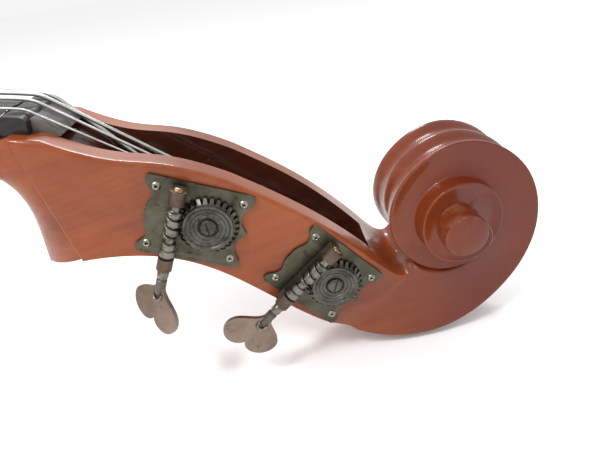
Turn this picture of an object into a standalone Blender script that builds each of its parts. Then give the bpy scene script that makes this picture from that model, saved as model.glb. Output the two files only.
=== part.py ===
"""A full-size double bass lying on its back.

The tailpiece end points to -X and the scroll to +X, the strings are on top (+Z), the treble
side is -Y and the bass side +Y.  The origin is under the middle of the instrument, on the
surface it lies on.  All sizes are in metres.

The head (nut, pegbox, scroll and tuning machines) is laid out in the neck frame: its origin is
on the nut's crown, its X axis runs along the strings towards the scroll, and its Z axis stands
square to the plane of the strings.
"""
import math

import bmesh
import bpy
import numpy as np
from mathutils import Matrix, Vector

GAP = 0.0003                      # clearance between pieces that touch

# Neck frame
NUT_X, NUT_Z = 0.659, 0.190       # the nut's crown
NECK_ANGLE = math.radians(11.5)   # the strings fall towards the nut

# Body
TAIL_X = -0.877                   # outer edge of the plates at the tail
BODY_LENGTH = 1.110
HEAD_X = TAIL_X + BODY_LENGTH     # outer edge of the plates at the neck
EDGE_TOP_Z = 0.203                # underside of the top plate's edge
PLATE_EDGE = 0.007                # thickness of both plates at the edge
TOP_ARCH, TOP_ARCH_INSIDE = 0.033, 0.032
SPINE_START, SPINE_END = -0.677, 0.053   # the arch's middle line
OVERHANG = 0.006                  # plate edge beyond the ribs
RIB = 0.003
LINING_DEPTH, LINING_HEIGHT = 0.006, 0.018
BACK_BEND_X, BACK_RISE = -0.007, 0.040   # the flat back bends up towards the neck
HEEL_HALF = 0.031
BRIDGE_X, BRIDGE_TOP_Z = -0.375, 0.4005
BRIDGE_CROWN_R, BRIDGE_CROWN_Z = 0.085, 0.3983   # the crown's radius and highest point
FINGERBOARD_END_X = -0.145

# Half outline of the body from the tail's centre to the heel, as cubic curves of
# (distance from the tail, half width); each bout is one run that ends at a corner.
LOWER_BOUT = [((0, 0), (0, 0.19), (0.11, 0.33), (0.27, 0.33)),
              ((0.27, 0.33), (0.355, 0.33), (0.415, 0.24), (0.48, 0.268))]
CENTRE_BOUT = [((0.489, 0.26), (0.512, 0.225), (0.545, 0.1825), (0.605, 0.1825)),
               ((0.605, 0.1825), (0.655, 0.1825), (0.69, 0.196), (0.716, 0.222))]
UPPER_BOUT = [((0.727, 0.229), (0.76, 0.208), (0.79, 0.252), (0.865, 0.252)),
              ((0.865, 0.252), (0.94, 0.252), (1.0, 0.195), (1.045, 0.13)),
              ((1.045, 0.13), (1.075, 0.087), (1.09, 0.05), (1.11, 0.042))]

# Head, in the neck frame: (x, z) of the centre plane
CHEEK_HALF = 0.0326               # half width of the pegbox
CHEEK_WALL = 0.0108
BARREL_SPACE = 0.001              # between a roller's shoulder and the cheek
CHIN_HALF = 0.0287                # half width of the chin, set back from the cheeks
GLUE_Z, GLUE_SLOPE = -0.014, 0.01875     # the fingerboard's underside at the nut, and its fall
PEGBOX_FRONT = [((0.011, -0.012), (0.0575, -0.0303), (0.0515, -0.0138), (0.101, -0.0317)),
                ((0.101, -0.0317), (0.1386, -0.048), (0.157, -0.0584), (0.192, -0.0862)),
                ((0.192, -0.0862), (0.199, -0.0915), (0.208, -0.099), (0.2122, -0.0875))]
PEGBOX_BACK = [((0.0227, -0.0798), (0.0992, -0.0639), (0.1132, -0.111), (0.1853, -0.1368))]
CHIN_SEAM = ((-0.0027, -0.0118), (0.023, -0.080))      # where the flat cheek begins
CHIN_TIP = (-0.0082, -0.0923)
CHIN_FRONT = [(CHIN_TIP, (-0.0105, -0.0636), (-0.0049, -0.0384), (-0.040, -0.0332))]
CHIN_FLARE = 1.93                 # how soon the round shaft turns into the upright chin
SHAFT_UNDER = ((-0.040, -0.0332), (-0.200, -0.0360), (-0.322, -0.0415))
SHAFT_HALF = (0.0225, 0.0255, 0.0285)
PIER_ROUNDNESS = 1.8              # exponent of the chin's and heel's plan
HEEL_FOOT_X, HEEL_FOOT_HALF = 0.256, 0.020

# The scroll's spiral about its centre: rim radius and half width at an angle in degrees,
# counted from the head's far end through the top
SCROLL_CENTRE = (0.2295, -0.0575)
THROAT_ANGLE, SPIRAL_END, SPIRAL_STEP = -120, 780, 22.5
RIM_RADIUS = {-135: 0.0960, -90: 0.0850, -45: 0.0665, 0: 0.0565, 45: 0.0510, 90: 0.0470,
              135: 0.0400, 180: 0.0360, 225: 0.0343, 270: 0.0355, 315: 0.0340, 360: 0.0308,
              450: 0.0265, 540: 0.0207, 630: 0.0202, 700: 0.0182, 760: 0.0142, 830: 0.0128}
HALF_WIDTH = {-120: 0.0282, -90: 0.0265, 0: 0.0220, 90: 0.0205, 180: 0.0215, 270: 0.0240,
              360: 0.0270, 450: 0.0310, 540: 0.0350, 630: 0.0390, 720: 0.0440, 830: 0.0450}
EYE_CENTRE, EYE_RADIUS, EYE_HALF = (0.2296, -0.0559), 0.0125, 0.0472
EYE_BORE = 0.008                  # flat land left inside the last turn, under the eye
FLUTE_DEPTH = 0.0035

# Strings, treble to bass: name, across the nut, diameter
STRINGS = (("g", -0.015, 0.0013), ("d", -0.005, 0.0017), ("a", 0.005, 0.0022), ("e", 0.015, 0.0028))
# String spacing at the bridge, tailpiece and rollers over the spacing at the nut
BRIDGE_SPREAD, TAILPIECE_SPREAD, ROLLER_SPREAD = 2.9, 1.6, 0.55
NUT_CROWN = {"g": -0.0018, "d": 0.0004, "a": 0.0006, "e": -0.0010}
WOUND_UNDER = {"d": 0.0020}       # turns already on the roller, under the last one

# Tuning machines: name, side (-1 treble, 1 bass), plate centre in the neck frame, tilt,
# turn of the key about its shaft
MACHINES = (("g", -1, (0.0829, -0.0552), 13.0, -44.0), ("d", -1, (0.1555, -0.0908), 38.1, 4.0),
            ("e", 1, (0.0430, -0.0475), 6.0, 70.0), ("a", 1, (0.1195, -0.0715), 25.0, 20.0))
PLATE_THICK = 0.0015
GEAR_CENTRE = (0.0070, 0.0011)    # from the plate's centre, in the plate's own frame
GEAR_TEETH = 28
GEAR_HUB_R, GEAR_TIP_R, GEAR_ROOT_R = 0.0137, 0.0166, 0.0142
GEAR_BASE, GEAR_TOOTH_TOP, GEAR_RIM_TOP = 0.0021, 0.0034, 0.0068
WORM_X, WORM_HEIGHT, WORM_R, WORM_CORE = -0.0110, 0.0085, 0.0040, 0.0031
ROLLER_R, ROLLER_NECK_R, ROLLER_TAIL_R = 0.0072, 0.0058, 0.0050

# Tail end
END_Z = 0.105                     # height of the endpin
SOCKET_BODY_R = 0.016
ENDPIN_R, ENDPIN_LENGTH = 0.005, 0.36
TAILPIECE_FRONT, TAILPIECE_BACK = (-0.500, 0.3545), (-0.800, 0.2465)


# --------------------------------------------------------------------------- helpers

def clear_scene():
    for item in list(bpy.data.objects):
        bpy.data.objects.remove(item, do_unlink=True)


def make_collection(name):
    collection = bpy.data.collections.new(name)
    bpy.context.scene.collection.children.link(collection)
    return collection


def make_material(name, colour, roughness, metallic):
    material = bpy.data.materials.new(name)
    material.use_nodes = True
    shader = material.node_tree.nodes["Principled BSDF"]
    shader.inputs["Base Color"].default_value = (*colour, 1.0)
    shader.inputs["Roughness"].default_value = roughness
    shader.inputs["Metallic"].default_value = metallic
    material.diffuse_color = (*colour, 1.0)
    return material


def make_object(name, mesh, material, parent=None, matrix=None, cutter=False):
    """Link a mesh as a named part (or as a hidden cutter) at its place."""
    obj = bpy.data.objects.new(name, mesh)
    (CUTTERS if cutter else PARTS).objects.link(obj)
    if material:
        mesh.materials.append(material)
    obj.parent = parent
    if matrix is not None:
        obj.matrix_local = matrix
    if cutter:
        obj.hide_render = True
        obj.display_type = "WIRE"
    return obj


def mesh_from_bmesh(name, bm, smooth=None):
    mesh = bpy.data.meshes.new(name)
    bm.to_mesh(mesh)
    bm.free()
    if smooth:
        mesh.shade_smooth()
        mesh.set_sharp_from_angle(angle=math.radians(smooth))
    return mesh


def boolean(obj, cutter, operation="DIFFERENCE"):
    modifier = obj.modifiers.new(operation.title(), "BOOLEAN")
    modifier.operation = operation
    modifier.object = cutter


def box_mesh(name, low, high):
    """A box given by two opposite corners."""
    bm = bmesh.new()
    bmesh.ops.create_cube(bm, size=1.0)
    low, high = Vector(low), Vector(high)
    size, middle = high - low, (low + high) / 2
    bmesh.ops.transform(bm, verts=bm.verts,
                        matrix=Matrix.Translation(middle) @ Matrix.Diagonal((*size, 1.0)))
    return mesh_from_bmesh(name, bm)


def turned_mesh(name, profile, steps, closed=False):
    """Turn a profile of (radius, height) about Z; it runs down the outer side."""
    guide_mesh = bpy.data.meshes.new(name)
    edges = [(i, i + 1) for i in range(len(profile) - 1)]
    if closed:
        edges.append((len(profile) - 1, 0))
    guide_mesh.from_pydata([(r, 0.0, z) for r, z in profile], edges, [])
    guide = bpy.data.objects.new(name, guide_mesh)
    bpy.context.scene.collection.objects.link(guide)
    screw = guide.modifiers.new("Turn", "SCREW")
    screw.steps = screw.render_steps = steps
    screw.use_merge_vertices = True
    screw.merge_threshold = 0.00001
    return evaluated_mesh(guide)


def evaluated_mesh(guide):
    """The mesh that an object's modifiers or curve make, welded; the object is removed."""
    bpy.context.view_layer.update()
    graph = bpy.context.evaluated_depsgraph_get()
    mesh = bpy.data.meshes.new_from_object(guide.evaluated_get(graph))
    data = guide.data
    bpy.data.objects.remove(guide, do_unlink=True)
    if data.users == 0 and isinstance(data, bpy.types.Curve):
        bpy.data.curves.remove(data)
    bm = bmesh.new()
    bm.from_mesh(mesh)
    bmesh.ops.remove_doubles(bm, verts=bm.verts, dist=0.000005)
    bm.to_mesh(mesh)
    bm.free()
    return mesh


def tube_mesh(name, points, radius, resolution=2):
    """A round bar along a line of points, with flat ends."""
    curve = bpy.data.curves.new(name, "CURVE")
    curve.dimensions = "3D"
    curve.bevel_depth = radius
    curve.bevel_resolution = resolution
    curve.use_fill_caps = True
    spline = curve.splines.new("POLY")
    spline.points.add(len(points) - 1)
    for point, place in zip(spline.points, points):
        point.co = (*place, 1.0)
    guide = bpy.data.objects.new(name, curve)
    bpy.context.scene.collection.objects.link(guide)
    return evaluated_mesh(guide)


def slab_mesh(name, outlines, thickness):
    """A flat plate in XY, centred on Z = 0; further outlines are holes."""
    curve = bpy.data.curves.new(name, "CURVE")
    curve.dimensions = "2D"
    curve.fill_mode = "BOTH"
    curve.extrude = thickness / 2
    for outline in outlines:
        spline = curve.splines.new("POLY")
        spline.points.add(len(outline) - 1)
        for point, (x, y) in zip(spline.points, outline):
            point.co = (x, y, 0.0, 1.0)
        spline.use_cyclic_u = True
    guide = bpy.data.objects.new(name, curve)
    bpy.context.scene.collection.objects.link(guide)
    return evaluated_mesh(guide)


def circle_points(centre, radius, count):
    return [(centre[0] + radius * math.cos(2 * math.pi * i / count),
             centre[1] + radius * math.sin(2 * math.pi * i / count)) for i in range(count)]


def bezier_points(curves, count):
    """Points along joined cubic curves, count steps on each."""
    points = []
    for a, b, c, d in curves:
        for i in range(count):
            t = i / count
            s = 1 - t
            points.append(tuple(s ** 3 * a[k] + 3 * s * s * t * b[k] + 3 * s * t * t * c[k]
                                + t ** 3 * d[k] for k in range(len(a))))
    points.append(tuple(curves[-1][3]))
    return points


def resample(points, count):
    """Points spaced evenly along a line, end points kept."""
    path = np.array(points)
    run = np.concatenate([[0], np.cumsum(np.linalg.norm(np.diff(path, axis=0), axis=1))])
    at = np.linspace(0, run[-1], count)
    return np.stack([np.interp(at, run, path[:, k]) for k in range(path.shape[1])], axis=1)


def smooth_step(t):
    t = min(max(t, 0.0), 1.0)
    return t * t * (3 - 2 * t)


def from_table(table, at):
    """Smooth curve through a table of values (Catmull-Rom on uneven steps)."""
    keys = sorted(table)
    i = min(max(sum(k <= at for k in keys) - 1, 0), len(keys) - 2)
    k0, k1 = keys[i], keys[i + 1]
    before, after = keys[max(i - 1, 0)], keys[min(i + 2, len(keys) - 1)]
    slope0 = (table[k1] - table[before]) / (k1 - before)
    slope1 = (table[after] - table[k0]) / (after - k0)
    span = k1 - k0
    t = (at - k0) / span
    return ((2 * t ** 3 - 3 * t * t + 1) * table[k0] + (t ** 3 - 2 * t * t + t) * span * slope0
            + (3 * t * t - 2 * t ** 3) * table[k1] + (t ** 3 - t * t) * span * slope1)


def grid_mesh(name, grids, caps=(), smooth=35):
    """Join grids of points (lists of rows) and cap loops into one welded surface."""
    bm = bmesh.new()
    for rows in grids:
        made = [[bm.verts.new(point) for point in row] for row in rows]
        for row, following in zip(made, made[1:]):
            for a, b, c, d in zip(row, row[1:], following[1:], following):
                bm.faces.new((a, b, c, d))
    for loop in caps:
        bm.faces.new([bm.verts.new(point) for point in loop])
    bmesh.ops.remove_doubles(bm, verts=bm.verts, dist=0.00003)
    bmesh.ops.recalc_face_normals(bm, faces=bm.faces)
    return mesh_from_bmesh(name, bm, smooth)


def cylinder_cutter(name, start, end, radius, sides=16, parent=None):
    """A hidden round cutter between two points."""
    start, end = Vector(start), Vector(end)
    axis = end - start
    bm = bmesh.new()
    bmesh.ops.create_cone(bm, cap_ends=True, segments=sides, radius1=radius, radius2=radius,
                          depth=axis.length)
    turn = axis.to_track_quat("Z", "Y").to_matrix().to_4x4()
    matrix = Matrix.Translation((start + end) / 2) @ turn
    return make_object(name, mesh_from_bmesh(name, bm), None, parent, matrix, cutter=True)


# --------------------------------------------------------------------------- body outline

def bout_points(curves, count, offset=0.0):
    """A bout's half outline (treble side positive), set in from the plates' edge."""
    path = np.array(resample(bezier_points(curves, 24), count))
    direction = np.gradient(path, axis=0)
    direction /= np.linalg.norm(direction, axis=1)[:, None]
    inward = np.stack([direction[:, 1], -direction[:, 0]], axis=1)
    path = path + inward * offset
    path[:, 1] = np.maximum(path[:, 1], 0.0)
    return with_bend([(TAIL_X + s, half) for s, half in path])


def with_bend(path):
    """The path with a point of its own where the back starts to bend up."""
    for i, ((x0, y0), (x1, y1)) in enumerate(zip(path, path[1:])):
        if x0 < BACK_BEND_X < x1:
            share = (BACK_BEND_X - x0) / (x1 - x0)
            return path[:i + 1] + [(BACK_BEND_X, y0 + (y1 - y0) * share)] + path[i + 1:]
    return path


def half_outline(count, offset=0.0):
    """The whole half outline from the tail to the heel, with its two corners."""
    points = bout_points(LOWER_BOUT, count, offset)
    points += bout_points(CENTRE_BOUT, count * 2 // 3, offset)
    points += bout_points(UPPER_BOUT, count, offset)
    return points + [(points[-1][0], 0.0)]


def back_height(x):
    """Outer surface of the flat back, which bends up towards the neck."""
    return BACK_RISE * max(0.0, (x - BACK_BEND_X) / (HEAD_X - BACK_BEND_X))


def arch_share(t):
    """Rise of the top's arch from the edge channel (t = 0) to the middle (t = 1)."""
    return 0.5 - 0.5 * math.cos(math.pi * min(max(t, 0.0), 1.0) ** 0.9)


def top_ring(t, inside, count):
    """One ring of the top plate between its edge and its middle line."""
    ring = []
    for x, y in half_outline(count):
        spine_x = min(max(x, SPINE_START), SPINE_END)
        px, py = x + (spine_x - x) * t, y * (1 - t)
        if inside:
            height = EDGE_TOP_Z + TOP_ARCH_INSIDE * arch_share((t - 0.12) / 0.88)
        else:
            height = EDGE_TOP_Z + PLATE_EDGE + TOP_ARCH * arch_share(t)
        ring.append((px, py, height))
    return ring


def build_top_plate():
    """Carved top: an arched plate with its edge, two f-holes and a notch for the heel."""
    count = 15
    outer = [top_ring(t, False, count) for t in (0.0, 0.07, 0.28, 0.52, 0.76, 1.0)]
    inner = [top_ring(t, True, count) for t in (0.0, 0.12, 0.42, 0.72, 1.0)]
    grids = [outer, inner, [outer[0], inner[0]]]
    mesh = grid_mesh("top_plate", grids)
    obj = make_object("top_plate", mesh, SPRUCE)
    mirror = obj.modifiers.new("Mirror", "MIRROR")
    mirror.use_axis = (False, True, False)
    mirror.merge_threshold = 0.00005
    notch = make_object("heel_notch", box_mesh(
        "heel_notch", (HEAD_X - OVERHANG, -HEEL_HALF - 2 * GAP, 0.15),
        (HEAD_X + 0.05, HEEL_HALF + 2 * GAP, 0.30)), None, cutter=True)
    boolean(obj, notch)
    for side in (-1, 1):
        boolean(obj, f_hole_cutter(side))
    return obj


def f_hole_outline():
    """An f-hole drawn for the treble side: two eyes joined by a curved stem."""
    stem = bezier_points([((0.055, -0.012), (0.070, 0.010), (0.045, 0.016), (0.0, 0.000)),
                          ((0.0, 0.000), (-0.045, -0.016), (-0.070, -0.010), (-0.055, 0.012))], 7)
    path = np.array(stem)
    direction = np.gradient(path, axis=0)
    direction /= np.linalg.norm(direction, axis=1)[:, None]
    normal = np.stack([-direction[:, 1], direction[:, 0]], axis=1)
    half = 0.0028 + 0.0038 * np.sin(np.linspace(0, math.pi, len(path)))
    left, right = path + normal * half[:, None], path - normal * half[:, None]
    return [tuple(p) for p in left] + [tuple(p) for p in right[::-1]]


def f_hole_cutter(side):
    """Upright cutter for one f-hole, with its round upper and lower eyes."""
    outline = [(x * 1.22, y * side * -1.0) for x, y in f_hole_outline()]
    mesh = slab_mesh("f_hole", [outline], 0.10)
    cutter = make_object("f_hole", mesh, None, None, Matrix.Translation(
        (BRIDGE_X + 0.004, side * 0.118, 0.235)), cutter=True)
    for end, radius in ((1, 0.0085), (-1, 0.0125)):
        x, y = end * 0.0575 * 1.22, end * 0.0105 * side
        eye = cylinder_cutter("f_hole_eye", (x, y, -0.05), (x, y, 0.05), radius, 14, cutter)
        boolean(cutter, eye, "UNION")
    return cutter


def build_back_plate():
    """Flat back, bent up over its upper end, with the button under the heel."""
    outline = half_outline(18)[:-1]
    shares = (0.0, 0.5, 1.0)
    ends = [(HEAD_X, outline[-1][1] * (1 - t)) for t in shares[1:]]
    grids, walls = [], []
    for lift in (0.0, PLATE_EDGE):
        grids.append([[(x, y * (1 - t), back_height(x) + lift) for x, y in outline]
                      for t in shares])
        walls.append([(x, y, back_height(x) + lift) for x, y in outline + ends])
    obj = make_object("back_plate", grid_mesh("back_plate", grids + [walls]), MAPLE)
    mirror = obj.modifiers.new("Mirror", "MIRROR")
    mirror.use_axis = (False, True, False)
    mirror.merge_threshold = 0.00005
    button = [(max(x, HEAD_X - 0.004), y)
              for x, y in circle_points((HEAD_X - 0.006, 0.0), 0.030, 20)]
    disc = slab_mesh("button", [button], PLATE_EDGE - 2 * GAP)
    disc.transform(Matrix.Translation((0, 0, BACK_RISE + PLATE_EDGE / 2)))
    boolean(obj, make_object("button", disc, None, cutter=True), "UNION")
    return obj


def ribbon_mesh(name, path, low, high, thickness, side):
    """An upright strip along a half outline, thickened inwards."""
    bm = bmesh.new()
    made = [(bm.verts.new((x, y * side, low(x))), bm.verts.new((x, y * side, high(x))))
            for x, y in path]
    for (a, b), (c, d) in zip(made, made[1:]):
        bm.faces.new((a, c, d, b) if side < 0 else (b, d, c, a))
    guide = bpy.data.objects.new(name, mesh_from_bmesh(name, bm, 30))
    bpy.context.scene.collection.objects.link(guide)
    solid = guide.modifiers.new("Thickness", "SOLIDIFY")
    solid.thickness = thickness
    solid.offset = -1.0
    solid.use_even_offset = True
    return evaluated_mesh(guide)


def rib_low(x):
    return back_height(x) + PLATE_EDGE + GAP


def rib_high(x):
    return EDGE_TOP_Z - GAP


def rib_line(bout, offset):
    """One bout's rib line, set in from the plates' edge and clear of the centre line."""
    count = {"lower": 16, "centre": 10, "upper": 16}[bout]
    curves = {"lower": LOWER_BOUT, "centre": CENTRE_BOUT, "upper": UPPER_BOUT}[bout]
    path = bout_points(curves, count, offset)
    if bout == "lower":
        path[0] = (TAIL_X + offset, GAP)
    if bout == "upper":
        head = HEAD_X - offset
        path = [p for p in path if p[0] < head - 0.002] + [(head, 0.040), (head, GAP)]
    return path


def stretched(path, at_start, at_end):
    """The path with its ends carried straight on, so that the ribs close at the corners."""
    (x0, y0), (x1, y1) = path[:2]
    (x2, y2), (x3, y3) = path[-2:]
    first, last = math.hypot(x1 - x0, y1 - y0), math.hypot(x3 - x2, y3 - y2)
    start = (x0 - (x1 - x0) * at_start / first, y0 - (y1 - y0) * at_start / first)
    end = (x3 + (x3 - x2) * at_end / last, y3 + (y3 - y2) * at_end / last)
    return [start] + path[1:-1] + [end]


def build_ribs():
    reach = {"lower": (0.0, 0.003), "centre": (0.0012, 0.0023), "upper": (0.003, 0.0)}
    for bout in ("lower", "centre", "upper"):
        path = stretched(rib_line(bout, OVERHANG), *reach[bout])
        for side, word in ((-1, "treble"), (1, "bass")):
            node = f"rib_{bout}_{word}"
            make_object(node, ribbon_mesh(node, path, rib_low, rib_high, RIB, side), MAPLE)


def block_mesh(name, outline, low, high):
    """An upright block with a foot that follows the back and a flat top."""
    mesh = slab_mesh(name, [outline], 1.0)
    for vertex in mesh.vertices:
        vertex.co.z = high if vertex.co.z > 0 else low(vertex.co.x)
    return mesh


def corner_outline(first, second, offset, side):
    """Outline of a corner block: the two rib lines near the corner, joined inside."""
    before = rib_line(first, offset)[-3:]
    after = rib_line(second, offset)[:3]
    outline = before[:-1] + after if first == "lower" else before + after[1:]
    return [(x, y * side) for x, y in outline]


def build_rib_frames():
    """Each side's corner blocks with the linings that run between them along both edges."""
    inner = OVERHANG + RIB + 2 * GAP
    block_top = EDGE_TOP_Z - 2 * GAP
    linings = (("lower", 2, 16), ("centre", 0, 10), ("upper", 0, 14))
    for side, word in ((-1, "treble"), (1, "bass")):
        node = f"corner_blocks_{word}"
        pieces = []
        for first, second in (("lower", "centre"), ("centre", "upper")):
            outline = corner_outline(first, second, inner, side)
            pieces.append(block_mesh("block", outline, lambda x: rib_low(x) + GAP, block_top))
        for bout, start, end in linings:
            path = rib_line(bout, inner + GAP)[start:end]
            pieces.append(ribbon_mesh("lining", path, lambda x: rib_low(x) + 2 * GAP,
                                      lambda x: rib_low(x) + LINING_HEIGHT, LINING_DEPTH, side))
            pieces.append(ribbon_mesh("lining", path, lambda x: block_top - LINING_HEIGHT,
                                      lambda x: block_top - GAP, LINING_DEPTH, side))
        frame = make_object(node, pieces[0], SPRUCE_INSIDE)
        for piece in pieces[1:]:
            boolean(frame, make_object("frame_piece", piece, None, cutter=True), "UNION")


def build_end_blocks():
    inner = OVERHANG + RIB + GAP
    block_top = EDGE_TOP_Z - GAP
    block_x = HEAD_X - inner
    neck = [(block_x, -0.036), (block_x, 0.036), (block_x - 0.035, 0.060),
            (block_x - 0.070, 0.060), (block_x - 0.070, -0.060), (block_x - 0.035, -0.060)]
    make_object("neck_block", block_mesh("neck_block", neck, rib_low, block_top), SPRUCE_INSIDE)

    tail = [p for p in rib_line("lower", inner + GAP) if 0.001 < p[1] < 0.09]
    tail = [(x, -y) for x, y in tail[::-1]] + [(TAIL_X + inner + GAP, 0.0)] + tail
    tail += [(TAIL_X + 0.065, tail[-1][1] - 0.008), (TAIL_X + 0.065, 0.008 - tail[-1][1])]
    block = make_object("end_block", block_mesh("end_block", tail, rib_low, block_top),
                        SPRUCE_INSIDE)
    bore = cylinder_cutter("endpin_bore", (TAIL_X - 0.05, 0, END_Z), (TAIL_X + 0.10, 0, END_Z),
                           SOCKET_BODY_R + GAP, 16)
    boolean(block, bore)
    for word in ("treble", "bass"):
        boolean(PARTS.objects[f"rib_lower_{word}"], bore)


def under_arch(x, y):
    """Underside of the top plate's arch above a point near the middle."""
    width = np.interp(x, *zip(*half_outline(40)))
    return EDGE_TOP_Z + TOP_ARCH_INSIDE * arch_share(((1 - abs(y) / width) - 0.12) / 0.88)


def build_inside():
    """Bass bar and sound post under the bridge, and braces across the flat back."""
    outline = []
    bar_y, bar_half = 0.052, 0.011
    stations = np.linspace(-0.66, 0.06, 9)
    for x in stations:
        outline.append((x, under_arch(x, bar_y + bar_half) - 0.004))
    for x in stations[::-1]:
        depth = 0.034 * max(0.0, 1 - ((x + 0.30) / 0.44) ** 2) + 0.008
        outline.append((x, under_arch(x, bar_y + bar_half) - 0.004 - depth))
    upright = Matrix.Translation((0, bar_y, 0)) @ Matrix.Rotation(math.pi / 2, 4, "X")
    make_object("bass_bar", slab_mesh("bass_bar", [outline], bar_half * 2), SPRUCE_INSIDE,
                None, upright)

    foot, brace_top, strip_top = PLATE_EDGE + GAP, PLATE_EDGE + 0.018, PLATE_EDGE + 0.006
    braces = make_object("back_braces", box_mesh(
        "back_braces", (-0.72, -0.02, foot), (-0.16, 0.02, strip_top)), SPRUCE_INSIDE)
    for x, half, width in ((-0.66, 0.24, 0.03), (-0.397, 0.16, 0.06), (-0.20, 0.16, 0.03)):
        brace = box_mesh("brace", (x - width / 2, -half, foot), (x + width / 2, half, brace_top))
        boolean(braces, make_object("brace", brace, None, cutter=True), "UNION")

    post_x, post_y, post_r = BRIDGE_X - 0.022, -0.060, 0.009
    low, high = brace_top + GAP, under_arch(post_x, -post_y + post_r) - 0.004
    make_object("sound_post", turned_mesh("sound_post", [
        (0, high), (post_r, high), (post_r, low), (0, low)], 16), SPRUCE_INSIDE, None,
        Matrix.Translation((post_x, post_y, 0)))


# --------------------------------------------------------------------------- neck and scroll

def to_neck(x, z):
    """Object frame (x, z) to neck frame (x, z)."""
    dx, dz = x - NUT_X, z - NUT_Z
    cos, sin = math.cos(NECK_ANGLE), math.sin(NECK_ANGLE)
    return dx * cos - dz * sin, dx * sin + dz * cos


def glue_z(x):
    """Underside of the fingerboard, which leaves the strings' plane towards the body."""
    return GLUE_Z + GLUE_SLOPE * min(x, 0.0)


def to_object(x, z):
    """Neck frame (x, z) to object frame (x, z)."""
    cos, sin = math.cos(NECK_ANGLE), math.sin(NECK_ANGLE)
    return NUT_X + x * cos + z * sin, NUT_Z - x * sin + z * cos


def spiral_point(angle):
    radius = from_table(RIM_RADIUS, angle)
    turn = math.radians(angle)
    return (SCROLL_CENTRE[0] + radius * math.cos(turn), SCROLL_CENTRE[1] + radius * math.sin(turn))


def pier_half(x, z, face, front, half):
    """Half width of an upright pier whose plan is half an ellipse ahead of a flat face."""
    share = (face - x) / (face - front)
    return half * math.sqrt(max(0.0, 1 - min(abs(share), 1.0) ** PIER_ROUNDNESS))


FLUTE_STEPS, SIDE_STEPS = 4, 4
LEAST_HALF = 0.0008               # keeps the side rows apart where a section comes to an edge


def flute_row(point, half, outward, depth):
    """Points from the rim (half width) to the centre plane across the fluted outer surface."""
    row = []
    for i in range(FLUTE_STEPS + 1):
        share = i / FLUTE_STEPS
        hollow = depth * math.sin(math.pi * share) ** 2
        row.append((point[0] - outward[0] * hollow, -half * (1 - share),
                    point[1] - outward[1] * hollow))
    return row


def side_row(front, back, widths):
    """Points on the side face from its front edge to its back edge."""
    row = []
    for i in range(SIDE_STEPS + 1):
        share = i / SIDE_STEPS
        row.append((front[0] + (back[0] - front[0]) * share, -widths(share),
                    front[1] + (back[1] - front[1]) * share))
    return row


def front_row(front, half, inner_half):
    """Points across the front surface from the centre plane to the edge."""
    row = [(front[0], -inner_half * i / FLUTE_STEPS, front[1]) for i in range(FLUTE_STEPS + 1)]
    return row + [(front[0], -half, front[1])]


def heel_face_x():
    """The heel's flat face, against the ribs."""
    return HEAD_X - OVERHANG + GAP


def heel_foot_z():
    """The heel's foot, on the button."""
    return BACK_RISE + PLATE_EDGE + 2 * GAP


def heel_curve(count):
    """The heel's front, from its foot up into the underside of the shaft."""
    return bezier_points([((HEEL_FOOT_X, heel_foot_z()), (0.262, 0.150), (0.262, 0.196),
                           to_object(*SHAFT_UNDER[2]))], count)


def no_pier(x, z):
    return 0.0


def chin_half(x, z):
    """Half width of the chin behind the flat cheeks."""
    (x0, z0), (x1, z1) = CHIN_SEAM
    face = x0 + (x1 - x0) * (z - z0) / (z1 - z0)
    curve = bezier_points(CHIN_FRONT, 24)
    front = float(np.interp(z, [p[1] for p in curve], [p[0] for p in curve]))
    return pier_half(x, z, face, front, CHIN_HALF)


def heel_half(x, z):
    """Half width of the heel ahead of the body."""
    ox, oz = to_object(x, z)
    curve = heel_curve(24)
    front = float(np.interp(oz, [p[1] for p in curve], [p[0] for p in curve]))
    rise = min(max((oz - heel_foot_z()) / (EDGE_TOP_Z - heel_foot_z()), 0.0), 1.0)
    return pier_half(ox, oz, heel_face_x(), front,
                     HEEL_FOOT_HALF + (HEEL_HALF - HEEL_FOOT_HALF) * rise ** 0.8)


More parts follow.
